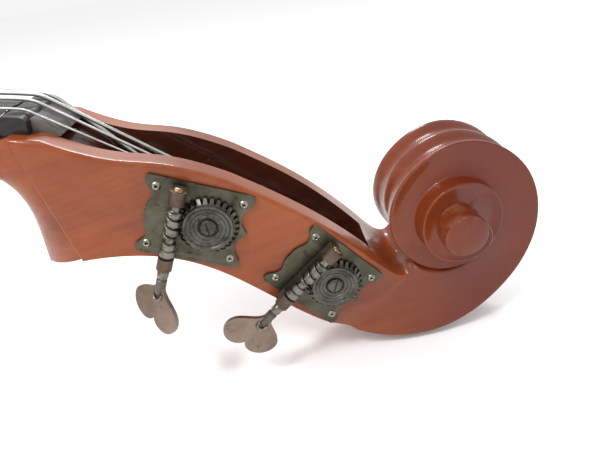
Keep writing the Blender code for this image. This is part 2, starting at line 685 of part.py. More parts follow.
def neck_sections():
    """Front point, back point, half width, pier share and pier width of each section."""
    face_x = heel_face_x()
    backs = [(face_x, heel_foot_z()), ((face_x + HEEL_FOOT_X) / 2, heel_foot_z())]
    backs += heel_curve(6)[:-1]
    glue_end = to_object(SHAFT_UNDER[2][0], glue_z(SHAFT_UNDER[2][0]))[0]
    cos, sin = math.cos(NECK_ANGLE), math.sin(NECK_ANGLE)
    sections = []
    for i, back in enumerate(backs):
        share = i / len(backs)
        front_x = face_x + (glue_end - face_x) * share ** 1.3
        station = (front_x - NUT_X - GLUE_Z * sin) / (cos + GLUE_SLOPE * sin)
        half = HEEL_HALF + (SHAFT_HALF[2] - HEEL_HALF) * share
        sections.append(((station, glue_z(station)), to_neck(*back), half,
                         1 - smooth_step((i - 4) / 4), heel_half))
    for (x, z), half in zip(SHAFT_UNDER[::-1], SHAFT_HALF[::-1]):
        sections.append(((x, glue_z(x)), (x, z), half, 0.0, no_pier))
    chin = bezier_points(CHIN_FRONT, 6)[::-1]
    shaft_end, chin_x = SHAFT_UNDER[0][0], -0.007
    for i, back in enumerate(chin[1:], start=1):
        share = i / 6
        front_x = shaft_end + (chin_x - shaft_end) * share
        front = (front_x, glue_z(front_x))
        half = SHAFT_HALF[0] + (CHIN_HALF - SHAFT_HALF[0]) * smooth_step(share)
        sections.append((front, back, half, smooth_step(share * CHIN_FLARE), chin_half))
    seam_front, seam_back = CHIN_SEAM
    for share in (0.5, 1.0):
        back = (CHIN_TIP[0] + (seam_back[0] - CHIN_TIP[0]) * share,
                CHIN_TIP[1] + (seam_back[1] - CHIN_TIP[1]) * share)
        front = (chin_x + (seam_front[0] - chin_x) * share,
                 glue_z(chin_x) + (seam_front[1] - glue_z(chin_x)) * share)
        sections.append((front, back, CHIN_HALF, 1.0, chin_half))
    return sections


def neck_rows():
    """Rows for the neck: front centre, side (round under the shaft), back centre."""
    rows = []
    for front, back, half, pier, pier_width in neck_sections():
        side = []
        for i in range(SIDE_STEPS + 1):
            share = 1 - math.sin(math.pi / 2 * i / SIDE_STEPS)    # 1 at the front, 0 at the back
            x = back[0] + (front[0] - back[0]) * share
            z = back[1] + (front[1] - back[1]) * share
            round_half = half * math.sqrt(max(0.0, 1 - (1 - share) ** 2))
            width = round_half * (1 - pier) + pier_width(x, z) * pier
            side.append((x, -max(width, LEAST_HALF * (SIDE_STEPS - i)), z))
        top_half, edge = -side[0][1], -side[-1][1]
        row = [(front[0], -top_half * i / (FLUTE_STEPS + 1), front[1])
               for i in range(FLUTE_STEPS + 1)] + side
        row += [(back[0], -edge * (1 - i / FLUTE_STEPS), back[1])
                for i in range(1, FLUTE_STEPS + 1)]
        rows.append(row)
    return rows


def pegbox_half(share):
    """Half width of the pegbox from the chin (0) to the throat (1)."""
    throat = HALF_WIDTH[THROAT_ANGLE]
    return CHEEK_HALF + (throat - CHEEK_HALF) * smooth_step((share - 0.82) / 0.18)


def pegbox_rows(count):
    """Rows for the pegbox, chin to throat, laid out as the neck's rows are."""
    fronts = resample(bezier_points(PEGBOX_FRONT, 16), count)
    backs = resample(bezier_points(PEGBOX_BACK, 32), count)
    throat_half = from_table(HALF_WIDTH, THROAT_ANGLE + 360)
    rows = []
    for i, (front, back) in enumerate(zip(fronts, backs)):
        share = i / (count - 1)
        half = pegbox_half(share)
        ahead = backs[min(i + 1, count - 1)] - backs[max(i - 1, 0)]
        ahead /= np.linalg.norm(ahead)
        outward = (ahead[1], -ahead[0])
        inner = half - 0.0045 + (throat_half - half + 0.0045) * smooth_step((share - 0.8) / 0.2)
        depth = FLUTE_DEPTH * smooth_step(share / 0.1)
        row = front_row(front, half, inner)
        row += side_row(front, back, lambda s: half)[1:]
        row += flute_row(back, half, outward, depth)[1:]
        rows.append(row)
    return rows


def scroll_rows(step):
    """Side and wall rows of the spiral, and the fluted rows of its outer turn."""
    sides, flutes = [], []
    last_base = SPIRAL_END - 360
    floor = from_table(HALF_WIDTH, last_base)
    angle = THROAT_ANGLE
    while angle <= SPIRAL_END:
        rim, half = spiral_point(angle), from_table(HALF_WIDTH, angle)
        if angle <= last_base:
            inner = spiral_point(angle + 360)
            top = from_table(HALF_WIDTH, angle + 360)
        else:
            turn = math.radians(angle)
            inner = (SCROLL_CENTRE[0] + EYE_BORE * math.cos(turn),
                     SCROLL_CENTRE[1] + EYE_BORE * math.sin(turn))
            top = floor
        row = [(inner[0], -top, inner[1])] + side_row(inner, rim, lambda s: half)
        sides.append(row)
        if angle <= THROAT_ANGLE + 360:
            ahead = spiral_point(angle + 1)
            behind = spiral_point(angle - 1)
            along = Vector((ahead[0] - behind[0], ahead[1] - behind[1])).normalized()
            flutes.append(flute_row(rim, half, (along.y, -along.x), FLUTE_DEPTH))
        angle += step
    return sides, flutes


def build_neck_and_scroll():
    """Neck, pegbox and scroll, carved from one piece."""
    pegbox = pegbox_rows(13)
    sides, flutes = scroll_rows(SPIRAL_STEP)
    # the throat's front edge is the second turn's rim, and its back the outer turn's
    pegbox[-1] = flutes[-1][::-1] + sides[0][1:] + flutes[0][1:]
    neck = neck_rows()
    step = [neck[-1], pegbox[0]]
    base = len(sides) - 1 - round(360 / SPIRAL_STEP)
    end_wall = [sides[base + 1][0], *sides[-1]]
    land = [row[0] for row in sides[base + 1:]]
    mesh = grid_mesh("neck_and_scroll", [neck, step, pegbox, sides, flutes],
                     [neck[0], end_wall, land])
    obj = make_object("neck_and_scroll", mesh, MAPLE_NECK, NECK)
    eye = turned_mesh("eye", [(0, EYE_HALF + 0.0006), (EYE_RADIUS - 0.0015, EYE_HALF),
                              (EYE_RADIUS, EYE_HALF - 0.0012), (EYE_RADIUS, 0.012), (0, 0.012)],
                      20)
    cutter = make_object("eye", eye, None, NECK, Matrix.Translation(
        (EYE_CENTRE[0], 0, EYE_CENTRE[1])) @ Matrix.Rotation(math.pi / 2, 4, "X"), cutter=True)
    boolean(obj, cutter, "UNION")
    mirror = obj.modifiers.new("Mirror", "MIRROR")
    mirror.use_axis = (False, True, False)
    mirror.merge_threshold = 0.00005
    boolean(obj, mortise_cutter())
    seat = box_mesh("nut_seat", (-0.0150, -0.0270 - GAP, GLUE_Z - 2 * GAP),
                    (0.0030 + GAP, 0.0270 + GAP, 0.02))
    boolean(obj, make_object("nut_seat", seat, None, NECK, cutter=True))
    return obj


def mortise_cutter():
    """The pegbox's hollow: a ramp behind the nut, then a floor that follows the back."""
    backs = resample(bezier_points(PEGBOX_BACK, 32), 60)
    back_floor, fillet = 0.015, 0.001
    stations = [(0.0030, GLUE_Z + 0.0005), (0.031, -0.0290), (0.042, -0.0560),
                (0.062, float(np.interp(0.062, backs[:, 0], backs[:, 1])) + back_floor)]
    stations += [(x, float(np.interp(x, backs[:, 0], backs[:, 1])) + back_floor)
                 for x in (0.09, 0.115, 0.14, 0.163)]
    stations += [(0.180, -0.1130), (0.191, -0.1015), (0.1965, -0.0850)]
    rows = []
    for x, floor in stations:
        half = CHEEK_HALF - CHEEK_WALL - 0.0035 * smooth_step((x - 0.13) / 0.065)
        top = 0.020
        rows.append([(x, half, top), (x, half, floor + fillet), (x, half - fillet, floor),
                     (x, -half + fillet, floor), (x, -half, floor + fillet), (x, -half, top),
                     (x, half, top)])
    ends = [rows[0][:-1], rows[-1][:-1]]
    mesh = grid_mesh("mortise", [rows], ends, None)
    return make_object("mortise", mesh, None, NECK, cutter=True)


def build_nut():
    """Ebony nut: a shoulder under a rounded block, and a ramp that leads the strings down."""
    base = box_mesh("nut", (-0.008, -0.0270, GLUE_Z + GAP), (0.0030, 0.0270, -0.0100))
    obj = make_object("nut", base, EBONY, NECK)
    profile = [(-0.0078, -0.0112), (-0.0078, -0.0052), (-0.006, -0.0036), (-0.001, -0.0034),
               (0.004, -0.0046), (0.0075, -0.0072), (0.0150, -0.0112), (0.0175, -0.0142),
               (0.0050, -0.0128), (0.0026, -0.0115)]
    block = make_object("nut_block", slab_mesh("nut_block", [profile], 0.042), None, NECK,
                        Matrix.Rotation(math.pi / 2, 4, "X"), cutter=True)
    boolean(obj, block, "UNION")
    return obj


def build_fingerboard():
    """Long ebony board: round on top, slightly hollow underneath at its free end."""
    start = -0.0085
    length = (NUT_X - FINGERBOARD_END_X) / math.cos(NECK_ANGLE)
    rows = []
    for share in (0.0, 0.5, 1.0):
        x = start - (length + start) * share
        half = 0.0225 + (0.0430 - 0.0225) * share
        edge, crown = -0.0062 - 0.0163 * share, -0.0040 - 0.0065 * share
        top = [(x, half * k / 4, edge + (crown - edge) * (1 - (k / 4) ** 2)) for k in range(-4, 5)]
        under = glue_z(x) + GAP
        rows.append(top + [(x, half, under), (x, -half, under), top[0]])
    mesh = grid_mesh("fingerboard", [rows], [rows[0][:-1], rows[-1][:-1]])
    return make_object("fingerboard", mesh, EBONY, NECK)


# --------------------------------------------------------------------------- tuning machines

def machine_point(machine, x, y, out):
    """A place in a machine's own frame (along the plate, up the plate, off the cheek)."""
    name, side, centre, tilt, _ = machine
    cos, sin = math.cos(math.radians(tilt)), math.sin(math.radians(tilt))
    return (centre[0] + x * cos + y * sin, side * (CHEEK_HALF + out),
            centre[1] - x * sin + y * cos)


def machine_empty(machine):
    """The machine's frame: X along the plate, Y up it, Z off the cheek (bass side mirrored)."""
    name, side, centre, tilt, _ = machine
    cos, sin = math.cos(math.radians(tilt)), math.sin(math.radians(tilt))
    along, up, out = (cos, 0, -sin), (sin * -side, 0, cos * -side), (0, side, 0)
    matrix = Matrix((along, up, out)).transposed().to_4x4()
    matrix.translation = machine_point(machine, 0, 0, 0)
    empty = bpy.data.objects.new(f"machine_{name}", None)
    PARTS.objects.link(empty)
    empty.parent = NECK
    empty.matrix_local = matrix
    return empty


def handed(mesh, side):
    """Mirror a machine piece for the bass side."""
    if side > 0:
        bm = bmesh.new()
        bm.from_mesh(mesh)
        bmesh.ops.transform(bm, verts=bm.verts, matrix=Matrix.Diagonal((1, -1, 1, 1)))
        bmesh.ops.reverse_faces(bm, faces=bm.faces)
        bm.to_mesh(mesh)
        bm.free()
    return mesh


def plate_outline():
    """Half of the plate above its long axis, then mirrored: wavy ends, straight sides."""
    worm_end = bezier_points([((-0.0260, 0.0), (-0.0275, 0.005), (-0.0235, 0.009), (-0.0238, 0.0115)),
                              ((-0.0238, 0.0115), (-0.0240, 0.016), (-0.0285, 0.0165),
                               (-0.0283, 0.0205))], 3)
    corner = [(-0.0262, 0.0230), (0.0258, 0.0230)]
    gear_end = bezier_points([((0.0280, 0.0205), (0.0285, 0.0165), (0.0245, 0.0160), (0.0235, 0.0095)),
                              ((0.0235, 0.0095), (0.0230, 0.0045), (0.0262, 0.0025),
                               (0.0282, 0.0))], 3)
    half = worm_end + corner + gear_end
    return half + [(x, -y) for x, y in half[-2:0:-1]]


def build_machine(machine):
    name, side, _, _, key_turn = machine
    frame = machine_empty(machine)
    gx, gy = GEAR_CENTRE
    flip = -1 if side > 0 else 1

    def place(obj_name, mesh, material, matrix=None, parent=frame):
        return make_object(f"{obj_name}_{name}", handed(mesh, side), material, parent, matrix)

    base = slab_mesh("plate", [plate_outline(), circle_points(GEAR_CENTRE, 0.0048, 12)],
                     PLATE_THICK)
    base.transform(Matrix.Translation((0, 0, GAP + PLATE_THICK / 2)))
    place("machine_plate", base, BRASS)

    # bearing bracket: two round lugs bored for the shaft, joined by a thin foot on the plate
    foot_low = GAP + PLATE_THICK + GAP
    bracket = box_mesh("bracket", (WORM_X - 0.0034, -0.0268, foot_low),
                       (GEAR_CENTRE[0] - GEAR_TIP_R - GAP, 0.0203, foot_low + 0.0009))
    bracket_obj = place("worm_bracket", bracket, BRASS_DARK)
    for low, high in ((0.0128, 0.0205), (-0.0270, -0.0195)):
        arc = [(0.0042 * math.cos(a), WORM_HEIGHT + 0.0042 * math.sin(a))
               for a in np.linspace(-math.pi / 4, math.pi * 1.25, 9)]
        lug = [(0.0036, foot_low + 0.0002)] + arc + [(-0.0036, foot_low + 0.0002)]
        mesh = slab_mesh("lug", [lug, circle_points((0, WORM_HEIGHT), 0.0024, 10)], high - low)
        mesh.transform(Matrix.Translation((WORM_X, (low + high) / 2, 0))
                       @ Matrix.Rotation(math.pi / 2, 4, "X"))
        boolean(bracket_obj, make_object("lug", handed(mesh, side), None, frame, cutter=True),
                "UNION")

    # worm shaft, turned about its own axis, which is local Z here
    axis = (Matrix.Translation((WORM_X, 0, WORM_HEIGHT))
            @ Matrix.Rotation(-flip * math.pi / 2, 4, "X"))
    profile = [(0, 0.0222), (0.0030, 0.0222), (0.0034, 0.0212), (0.0034, 0.0208), (0.0021, 0.0208),
               (0.0021, 0.0125), (WORM_CORE, 0.0125), (WORM_CORE, 0.0090)]
    for ridge in range(3):
        top = 0.0086 - 0.0058 * ridge
        profile += [(WORM_R, top - 0.0010), (WORM_R, top - 0.0034), (WORM_CORE - 0.0004, top - 0.0044)]
    profile += [(0.0038, -0.0102), (0.0038, -0.0185), (0.0021, -0.0192), (0.0021, -0.0273),
                (0.0030, -0.0273), (0.0030, -0.0420), (0.0020, -0.0450), (0, -0.0450)]
    shaft = turned_mesh("worm_shaft", profile, 8)
    shaft_obj = make_object(f"worm_shaft_{name}", shaft, STEEL, frame, axis)
    key_turned = Matrix.Rotation(math.radians(key_turn) * flip, 4, "Z")
    slot = box_mesh("key_slot", (-0.01, -0.0011 - GAP, -0.050), (0.01, 0.0011 + GAP, -0.0382))
    boolean(shaft_obj, make_object("key_slot", slot, None, shaft_obj, key_turned, cutter=True))

    half = bezier_points([((0.0028, 0.0015), (0.0050, -0.0050), (0.0185, -0.0050), (0.0180, -0.0150)),
                          ((0.0180, -0.0150), (0.0172, -0.0260), (0.0032, -0.0280),
                           (0.0, -0.0205))], 6)
    outline = half + [(-x, y) for x, y in half[-2::-1]]
    key = slab_mesh("key", [outline], 0.0022)
    key.transform(Matrix.Translation((0, 0, -0.0400)) @ Matrix.Rotation(math.pi / 2, 4, "X"))
    make_object(f"key_{name}", key, BRONZE, shaft_obj, key_turned)

    # gear: hub rim and a ring of teeth whose tops slope away under the worm
    teeth = []
    for k in range(GEAR_TEETH):
        start = 2 * math.pi * k / GEAR_TEETH
        for share, radius in ((0.0, GEAR_ROOT_R), (0.3, GEAR_TIP_R), (0.6, GEAR_TIP_R)):
            angle = start + share * 2 * math.pi / GEAR_TEETH
            teeth.append((radius * math.cos(angle), radius * math.sin(angle)))
    bm = bmesh.new()
    low_ring = [bm.verts.new((x, y, GEAR_BASE)) for x, y in teeth]
    top_ring_verts = [bm.verts.new((x, y, GEAR_TOOTH_TOP if math.hypot(x, y) > 0.015 else 0.0058))
                      for x, y in teeth]
    count = len(teeth)
    bore_low = [bm.verts.new((0.0026 * math.cos(a), 0.0026 * math.sin(a), GEAR_BASE))
                for a in np.linspace(0, 2 * math.pi, 14, endpoint=False)]
    for i in range(count):
        j = (i + 1) % count
        bm.faces.new((low_ring[i], low_ring[j], top_ring_verts[j], top_ring_verts[i]))
    rings = []
    for radius, height in ((GEAR_HUB_R, GEAR_RIM_TOP), (0.0115, GEAR_RIM_TOP), (0.0105, 0.0056),
                           (0.0064, 0.0050), (0.0026, 0.0050)):
        rings.append([bm.verts.new((radius * math.cos(a), radius * math.sin(a), height))
                      for a in np.linspace(0, 2 * math.pi, 28 if radius > 0.011 else 14,
                                           endpoint=False)])
    bridge_rings(bm, top_ring_verts, rings[0])
    for outer, inner in zip(rings, rings[1:]):
        bridge_rings(bm, outer, inner)
    bridge_rings(bm, rings[-1], bore_low)
    bridge_rings(bm, bore_low, low_ring)
    bmesh.ops.recalc_face_normals(bm, faces=bm.faces)
    gear_at = Matrix.Translation((gx, gy * flip, 0))
    make_object(f"gear_{name}", mesh_from_bmesh("gear", bm, 30), GUNMETAL, frame, gear_at)

    # slotted screw that holds the gear on the roller
    screw = turned_mesh("gear_screw", [(0, 0.0068), (0.0036, 0.0066), (0.0048, 0.0058),
                                       (0.0048, 0.0050 + GAP), (0.0022, 0.0050 + GAP),
                                       (0.0022, GEAR_BASE + GAP), (0, GEAR_BASE + GAP)], 14)
    screw_obj = make_object(f"gear_screw_{name}", screw, GUNMETAL, frame, gear_at)
    screw_slot = make_object("screw_slot", box_mesh("screw_slot", (-0.006, -0.0005, 0.0057),
                                                    (0.006, 0.0005, 0.008)), None, screw_obj,
                             Matrix.Rotation(math.radians(-60) * flip, 4, "Z"), cutter=True)
    boolean(screw_obj, screw_slot)

    # roller: neck through the near cheek, barrel in the pegbox, tail in the far cheek
    inside_near = -CHEEK_WALL - BARREL_SPACE
    inside_far = -2 * CHEEK_HALF + CHEEK_WALL + BARREL_SPACE
    if name == "d":
        inside_near, inside_far = inside_near - 0.002, inside_far + 0.002
    roller = turned_mesh("roller", [
        (0, GEAR_BASE - GAP), (0.0042, GEAR_BASE - GAP), (0.0042, -0.0008), (ROLLER_NECK_R, -0.0008),
        (ROLLER_NECK_R, inside_near), (ROLLER_R, inside_near), (ROLLER_R, inside_far),
        (ROLLER_TAIL_R, inside_far), (ROLLER_TAIL_R, inside_far - 0.007),
        (0, inside_far - 0.007)], 12)
    make_object(f"roller_{name}", roller, EBONY_TURNED, frame, gear_at)
    holes = (("neck_hole", 0.01, -0.5 * CHEEK_HALF, ROLLER_NECK_R + GAP),
             ("tail_hole", -1.5 * CHEEK_HALF, inside_far - 0.007 - 2 * GAP, ROLLER_TAIL_R + GAP))
    for hole, near, far, radius in holes:
        cutter = cylinder_cutter(hole, (gx, gy * flip, near), (gx, gy * flip, far), radius, 14, frame)
        boolean(HEAD, cutter)


def bridge_rings(bm, outer, inner):
    """Faces between two closed rings of points that may differ in number."""
    edges = []
    for ring in (outer, inner):
        for a, b in zip(ring, ring[1:] + ring[:1]):
            edge = bm.edges.get((a, b))
            edges.append(edge if edge else bm.edges.new((a, b)))
    bmesh.ops.bridge_loops(bm, edges=edges)


# --------------------------------------------------------------------------- strings and fittings

def top_surface(x, y):
    """Outer surface of the arched top under a point near the middle."""
    width = float(np.interp(x, *zip(*half_outline(60))))
    return EDGE_TOP_Z + PLATE_EDGE + TOP_ARCH * arch_share(1 - abs(y) / width)


def bridge_crown(y):
    """Height of the bridge's round top edge."""
    return BRIDGE_CROWN_Z - (BRIDGE_CROWN_R - math.sqrt(BRIDGE_CROWN_R ** 2 - y * y))


def tailpiece_slope():
    return math.atan2(TAILPIECE_FRONT[1] - TAILPIECE_BACK[1],
                      TAILPIECE_FRONT[0] - TAILPIECE_BACK[0])


def build_bridge():
    """Maple bridge: two feet on the arch, waist, heart, kidney cut-outs and a round crown."""
    crown = [(y, bridge_crown(y)) for y in np.linspace(-0.052, 0.052, 13)]
    foot_out = top_surface(BRIDGE_X, 0.078) + 0.0012
    foot_in = top_surface(BRIDGE_X, 0.042) + 0.0012
    side = bezier_points([((0.052, crown[-1][1]), (0.047, 0.350), (0.030, 0.335), (0.050, 0.318)),
                          ((0.050, 0.318), (0.066, 0.305), (0.058, 0.285), (0.062, 0.262)),
                          ((0.062, 0.262), (0.066, 0.252), (0.078, 0.252), (0.078, foot_out))], 4)[1:]
    inner = bezier_points([((0.042, foot_in), (0.040, 0.262), (0.012, 0.262), (0.0, 0.266))], 4)
    half = side + inner[:-1]
    outline = crown + half + [inner[-1]] + [(-x, y) for x, y in half[::-1]]
    heart = bezier_points([((0.0, 0.322), (0.014, 0.338), (0.012, 0.350), (0.0, 0.343))], 4)
    heart += [(-y, z) for y, z in heart[-2:0:-1]]
    mesh = slab_mesh("bridge", [outline, heart], 0.020)
    for vertex in mesh.vertices:
        vertex.co.z *= 1 - 0.65 * (vertex.co.y - foot_out) / (BRIDGE_TOP_Z - foot_out)
    turn = Matrix(((0, 0, 1, BRIDGE_X), (1, 0, 0, 0), (0, 1, 0, 0), (0, 0, 0, 1)))
    return make_object("bridge", mesh, MAPLE_BARE, None, turn)


def build_strings():
    """Each string runs from the tailpiece over the bridge and nut down to its roller."""
    for (name, across, diameter), machine in zip(STRINGS, sorted_machines()):
        radius = diameter / 2
        bridge_y = across * BRIDGE_SPREAD
        tail_y = across * TAILPIECE_SPREAD
        front = TAILPIECE_FRONT
        slope = tailpiece_slope()
        lift = radius + GAP + 0.0007
        hole = (front[0] - 0.024 * math.cos(slope), front[1] - 0.024 * math.sin(slope))
        route = [Vector((hole[0] + 0.006 * math.sin(slope), tail_y, hole[1] - 0.006 * math.cos(slope))),
                 Vector((hole[0] - lift * math.sin(slope), tail_y, hole[1] + lift * math.cos(slope))),
                 Vector((BRIDGE_X - 0.006, bridge_y, bridge_crown(bridge_y) + lift)),
                 Vector((BRIDGE_X + 0.006, bridge_y, bridge_crown(bridge_y) + lift))]
        crown = NUT_CROWN[name]
        gear = machine_point(machine, *GEAR_CENTRE, 0)
        barrel = ROLLER_R + WOUND_UNDER.get(name, 0.0) + radius + 2 * GAP
        nut_points = [(-0.0055, across, crown), (0.0015, across, crown - 0.0002),
                      (0.0065, across, crown - 0.0024)]
        wind_y = across * ROLLER_SPREAD
        tangent = tangent_point((0.0065, crown - 0.0024), (gear[0], gear[2]), barrel)
        nut_points.append((tangent[0], wind_y, tangent[1]))
        for x, y, z in nut_points:
            ox, oz = to_object(x, z)
            route.append(Vector((ox, y, oz)))
        node = f"string_{name}"
        make_object(node, tube_mesh(node, route, radius, 1), STRING_STEEL)


def sorted_machines():
    by_name = {machine[0]: machine for machine in MACHINES}
    return [by_name[name] for name, _, _ in STRINGS]


def tangent_point(start, centre, radius):
    """Where a line from a point touches the top of a circle."""
    dx, dz = centre[0] - start[0], centre[1] - start[1]
    distance = math.hypot(dx, dz)
    heading, opening = math.atan2(dz, dx), math.asin(radius / distance)
    run = math.sqrt(distance ** 2 - radius ** 2)
    return (start[0] + run * math.cos(heading + opening), start[1] + run * math.sin(heading + opening))


def build_tailpiece():
    """Tapered ebony tailpiece with four string holes and two for the tail wire."""
    length = math.hypot(TAILPIECE_FRONT[0] - TAILPIECE_BACK[0],
                        TAILPIECE_FRONT[1] - TAILPIECE_BACK[1])
    outline = [(0, -0.036), (0, 0.036), (-0.02, 0.0385), (-length * 0.55, 0.0290), (-length, 0.0215),
               (-length, -0.0215), (-length * 0.55, -0.0290), (-0.02, -0.0385)]
    holes = [circle_points((-0.024, across * TAILPIECE_SPREAD), 0.0030, 8)
             for _, across, _ in STRINGS]
    holes += [circle_points((-length + 0.012, y), 0.0032, 8) for y in (-0.011, 0.011)]
    mesh = slab_mesh("tailpiece", [outline, *holes], 0.009)
    for vertex in mesh.vertices:
        vertex.co.z += -0.0045 - 0.0040 * (vertex.co.y / 0.0385) ** 2 * (vertex.co.z > 0)
    matrix = Matrix.Translation((TAILPIECE_FRONT[0], 0, TAILPIECE_FRONT[1])) @ \
        Matrix.Rotation(-tailpiece_slope(), 4, "Y")
    return make_object("tailpiece", mesh, EBONY, None, matrix)


def build_tail_end():
    """Tail wire, saddle, endpin socket, rod, rubber tip and thumbscrew."""
    saddle_x = TAIL_X + 0.001
    saddle = box_mesh("saddle", (saddle_x, -0.030, EDGE_TOP_Z + PLATE_EDGE + GAP + 0.0006),
                      (saddle_x + 0.0143, 0.030, EDGE_TOP_Z + PLATE_EDGE + 0.0085))
    make_object("saddle", saddle, EBONY)

    wire_r = 0.0015
    slope = tailpiece_slope()
    hole = (TAILPIECE_BACK[0] + 0.012 * math.cos(slope), TAILPIECE_BACK[1] + 0.012 * math.sin(slope))
    over = EDGE_TOP_Z + PLATE_EDGE + 0.0085 + wire_r + 2 * GAP
    loop_x, loop_r = TAIL_X - 0.0040, SOCKET_BODY_R - 0.004 + wire_r + 2 * GAP
    half = [(hole[0] - 0.005 * math.sin(slope), 0.011, hole[1] + 0.004 * math.cos(slope)),
            (hole[0] + 0.0105 * math.sin(slope), 0.011, hole[1] - 0.0125 * math.cos(slope)),
            (saddle_x + 0.014, 0.012, over), (saddle_x - 0.001, 0.012, over),
            (loop_x, 0.0125, over - 0.009), (loop_x, loop_r, END_Z + 0.01)]
    around = [(loop_x, loop_r * math.cos(a), END_Z - loop_r * math.sin(a))
              for a in np.linspace(0, math.pi, 9)]
    route = half + around + [(x, -y, z) for x, y, z in half[::-1]]
    make_object("tail_wire", tube_mesh("tail_wire", route, wire_r, 1), STEEL)

    bore = ENDPIN_R + GAP
    collar, neck_r = 0.020, SOCKET_BODY_R - 0.004
    outer = OVERHANG
    profile = [(bore, 0.046), (SOCKET_BODY_R * 0.9, 0.046), (SOCKET_BODY_R * 0.9, 0.0),
               (neck_r, 0.0), (neck_r, -0.0100), (collar, -0.0105), (collar, -0.0180),
               (0.014, -0.0300), (bore, -0.0300)]
    socket = turned_mesh("endpin_socket", profile, 20, closed=True)
    at_tail = Matrix.Translation((TAIL_X + outer - 0.002, 0, END_Z)) @ Matrix.Rotation(math.pi / 2, 4, "Y")
    socket_obj = make_object("endpin_socket", socket, EBONY, None, at_tail)
    screw_x = TAIL_X + outer - 0.002 - 0.0235
    cutter = cylinder_cutter("thumb_bore", (screw_x, 0, END_Z), (screw_x, -0.05, END_Z), 0.0024, 12)
    boolean(socket_obj, cutter)

    rod_end = TAIL_X - 0.040
    rod = turned_mesh("endpin_rod", [(0, ENDPIN_LENGTH), (ENDPIN_R - 0.001, ENDPIN_LENGTH),
                                     (ENDPIN_R, ENDPIN_LENGTH - 0.001), (ENDPIN_R, 0), (0, 0)], 16)
    make_object("endpin_rod", rod, STEEL_BRIGHT, None,
                Matrix.Translation((rod_end, 0, END_Z)) @ Matrix.Rotation(math.pi / 2, 4, "Y"))
    tip = turned_mesh("endpin_tip", [(0, -GAP), (0.0085, -GAP), (0.0100, -0.003), (0.0095, -0.0085),
                                     (0.006, -0.0100), (0, -0.0100)], 16)
    make_object("endpin_tip", tip, RUBBER, None,
                Matrix.Translation((rod_end, 0, END_Z)) @ Matrix.Rotation(math.pi / 2, 4, "Y"))

    thumb = turned_mesh("endpin_thumbscrew", [(0, 0.0340), (0.0060, 0.0335), (0.0068, 0.0310),
                                              (0.0060, 0.0260), (0.0030, 0.0240), (0.0021, 0.0225),
                                              (0.0021, ENDPIN_R + GAP), (0, ENDPIN_R + GAP)], 12)
    make_object("endpin_thumbscrew", thumb, STEEL, None,
                Matrix.Translation((screw_x, 0, END_Z)) @ Matrix.Rotation(math.pi / 2, 4, "X"))


clear_scene()
PARTS = make_collection("double_bass")
CUTTERS = make_collection("cutters")

SPRUCE = make_material("spruce_top", (0.46, 0.16, 0.045), 0.22, 0.0)
MAPLE = make_material("maple_body", (0.36, 0.095, 0.028), 0.2, 0.0)
MAPLE_NECK = make_material("maple_neck", (0.33, 0.085, 0.025), 0.2, 0.0)
MAPLE_BARE = make_material("bridge_maple", (0.72, 0.52, 0.30), 0.55, 0.0)
SPRUCE_INSIDE = make_material("inside_spruce", (0.70, 0.52, 0.32), 0.75, 0.0)
EBONY = make_material("ebony", (0.012, 0.011, 0.012), 0.2, 0.0)
EBONY_TURNED = make_material("roller_wood", (0.05, 0.03, 0.02), 0.45, 0.0)
BRASS = make_material("aged_brass_plate", (0.20, 0.18, 0.12), 0.5, 1.0)
BRASS_DARK = make_material("brown_bearing", (0.15, 0.11, 0.09), 0.5, 1.0)
STEEL = make_material("worn_nickel", (0.55, 0.52, 0.46), 0.35, 1.0)
STEEL_BRIGHT = make_material("bright_steel", (0.75, 0.75, 0.74), 0.25, 1.0)
GUNMETAL = make_material("gunmetal", (0.12, 0.12, 0.11), 0.4, 1.0)
BRONZE = make_material("dull_bronze", (0.36, 0.25, 0.18), 0.5, 1.0)
STRING_STEEL = make_material("string_steel", (0.62, 0.66, 0.60), 0.3, 1.0)
RUBBER = make_material("rubber", (0.02, 0.02, 0.02), 0.8, 0.0)

NECK = bpy.data.objects.new("neck_frame", None)
PARTS.objects.link(NECK)
NECK.location = (NUT_X, 0.0, NUT_Z)
NECK.rotation_euler = (0.0, NECK_ANGLE, 0.0)

build_top_plate()
build_back_plate()
build_ribs()
build_rib_frames()
build_end_blocks()
build_inside()
HEAD = build_neck_and_scroll()
build_nut()
build_fingerboard()
for tuner in MACHINES:
    build_machine(tuner)
build_bridge()
build_strings()
build_tailpiece()
build_tail_end()
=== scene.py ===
import math

import bmesh
import bpy
import numpy as np
from mathutils import Matrix, Vector
from mathutils.bvhtree import BVHTree


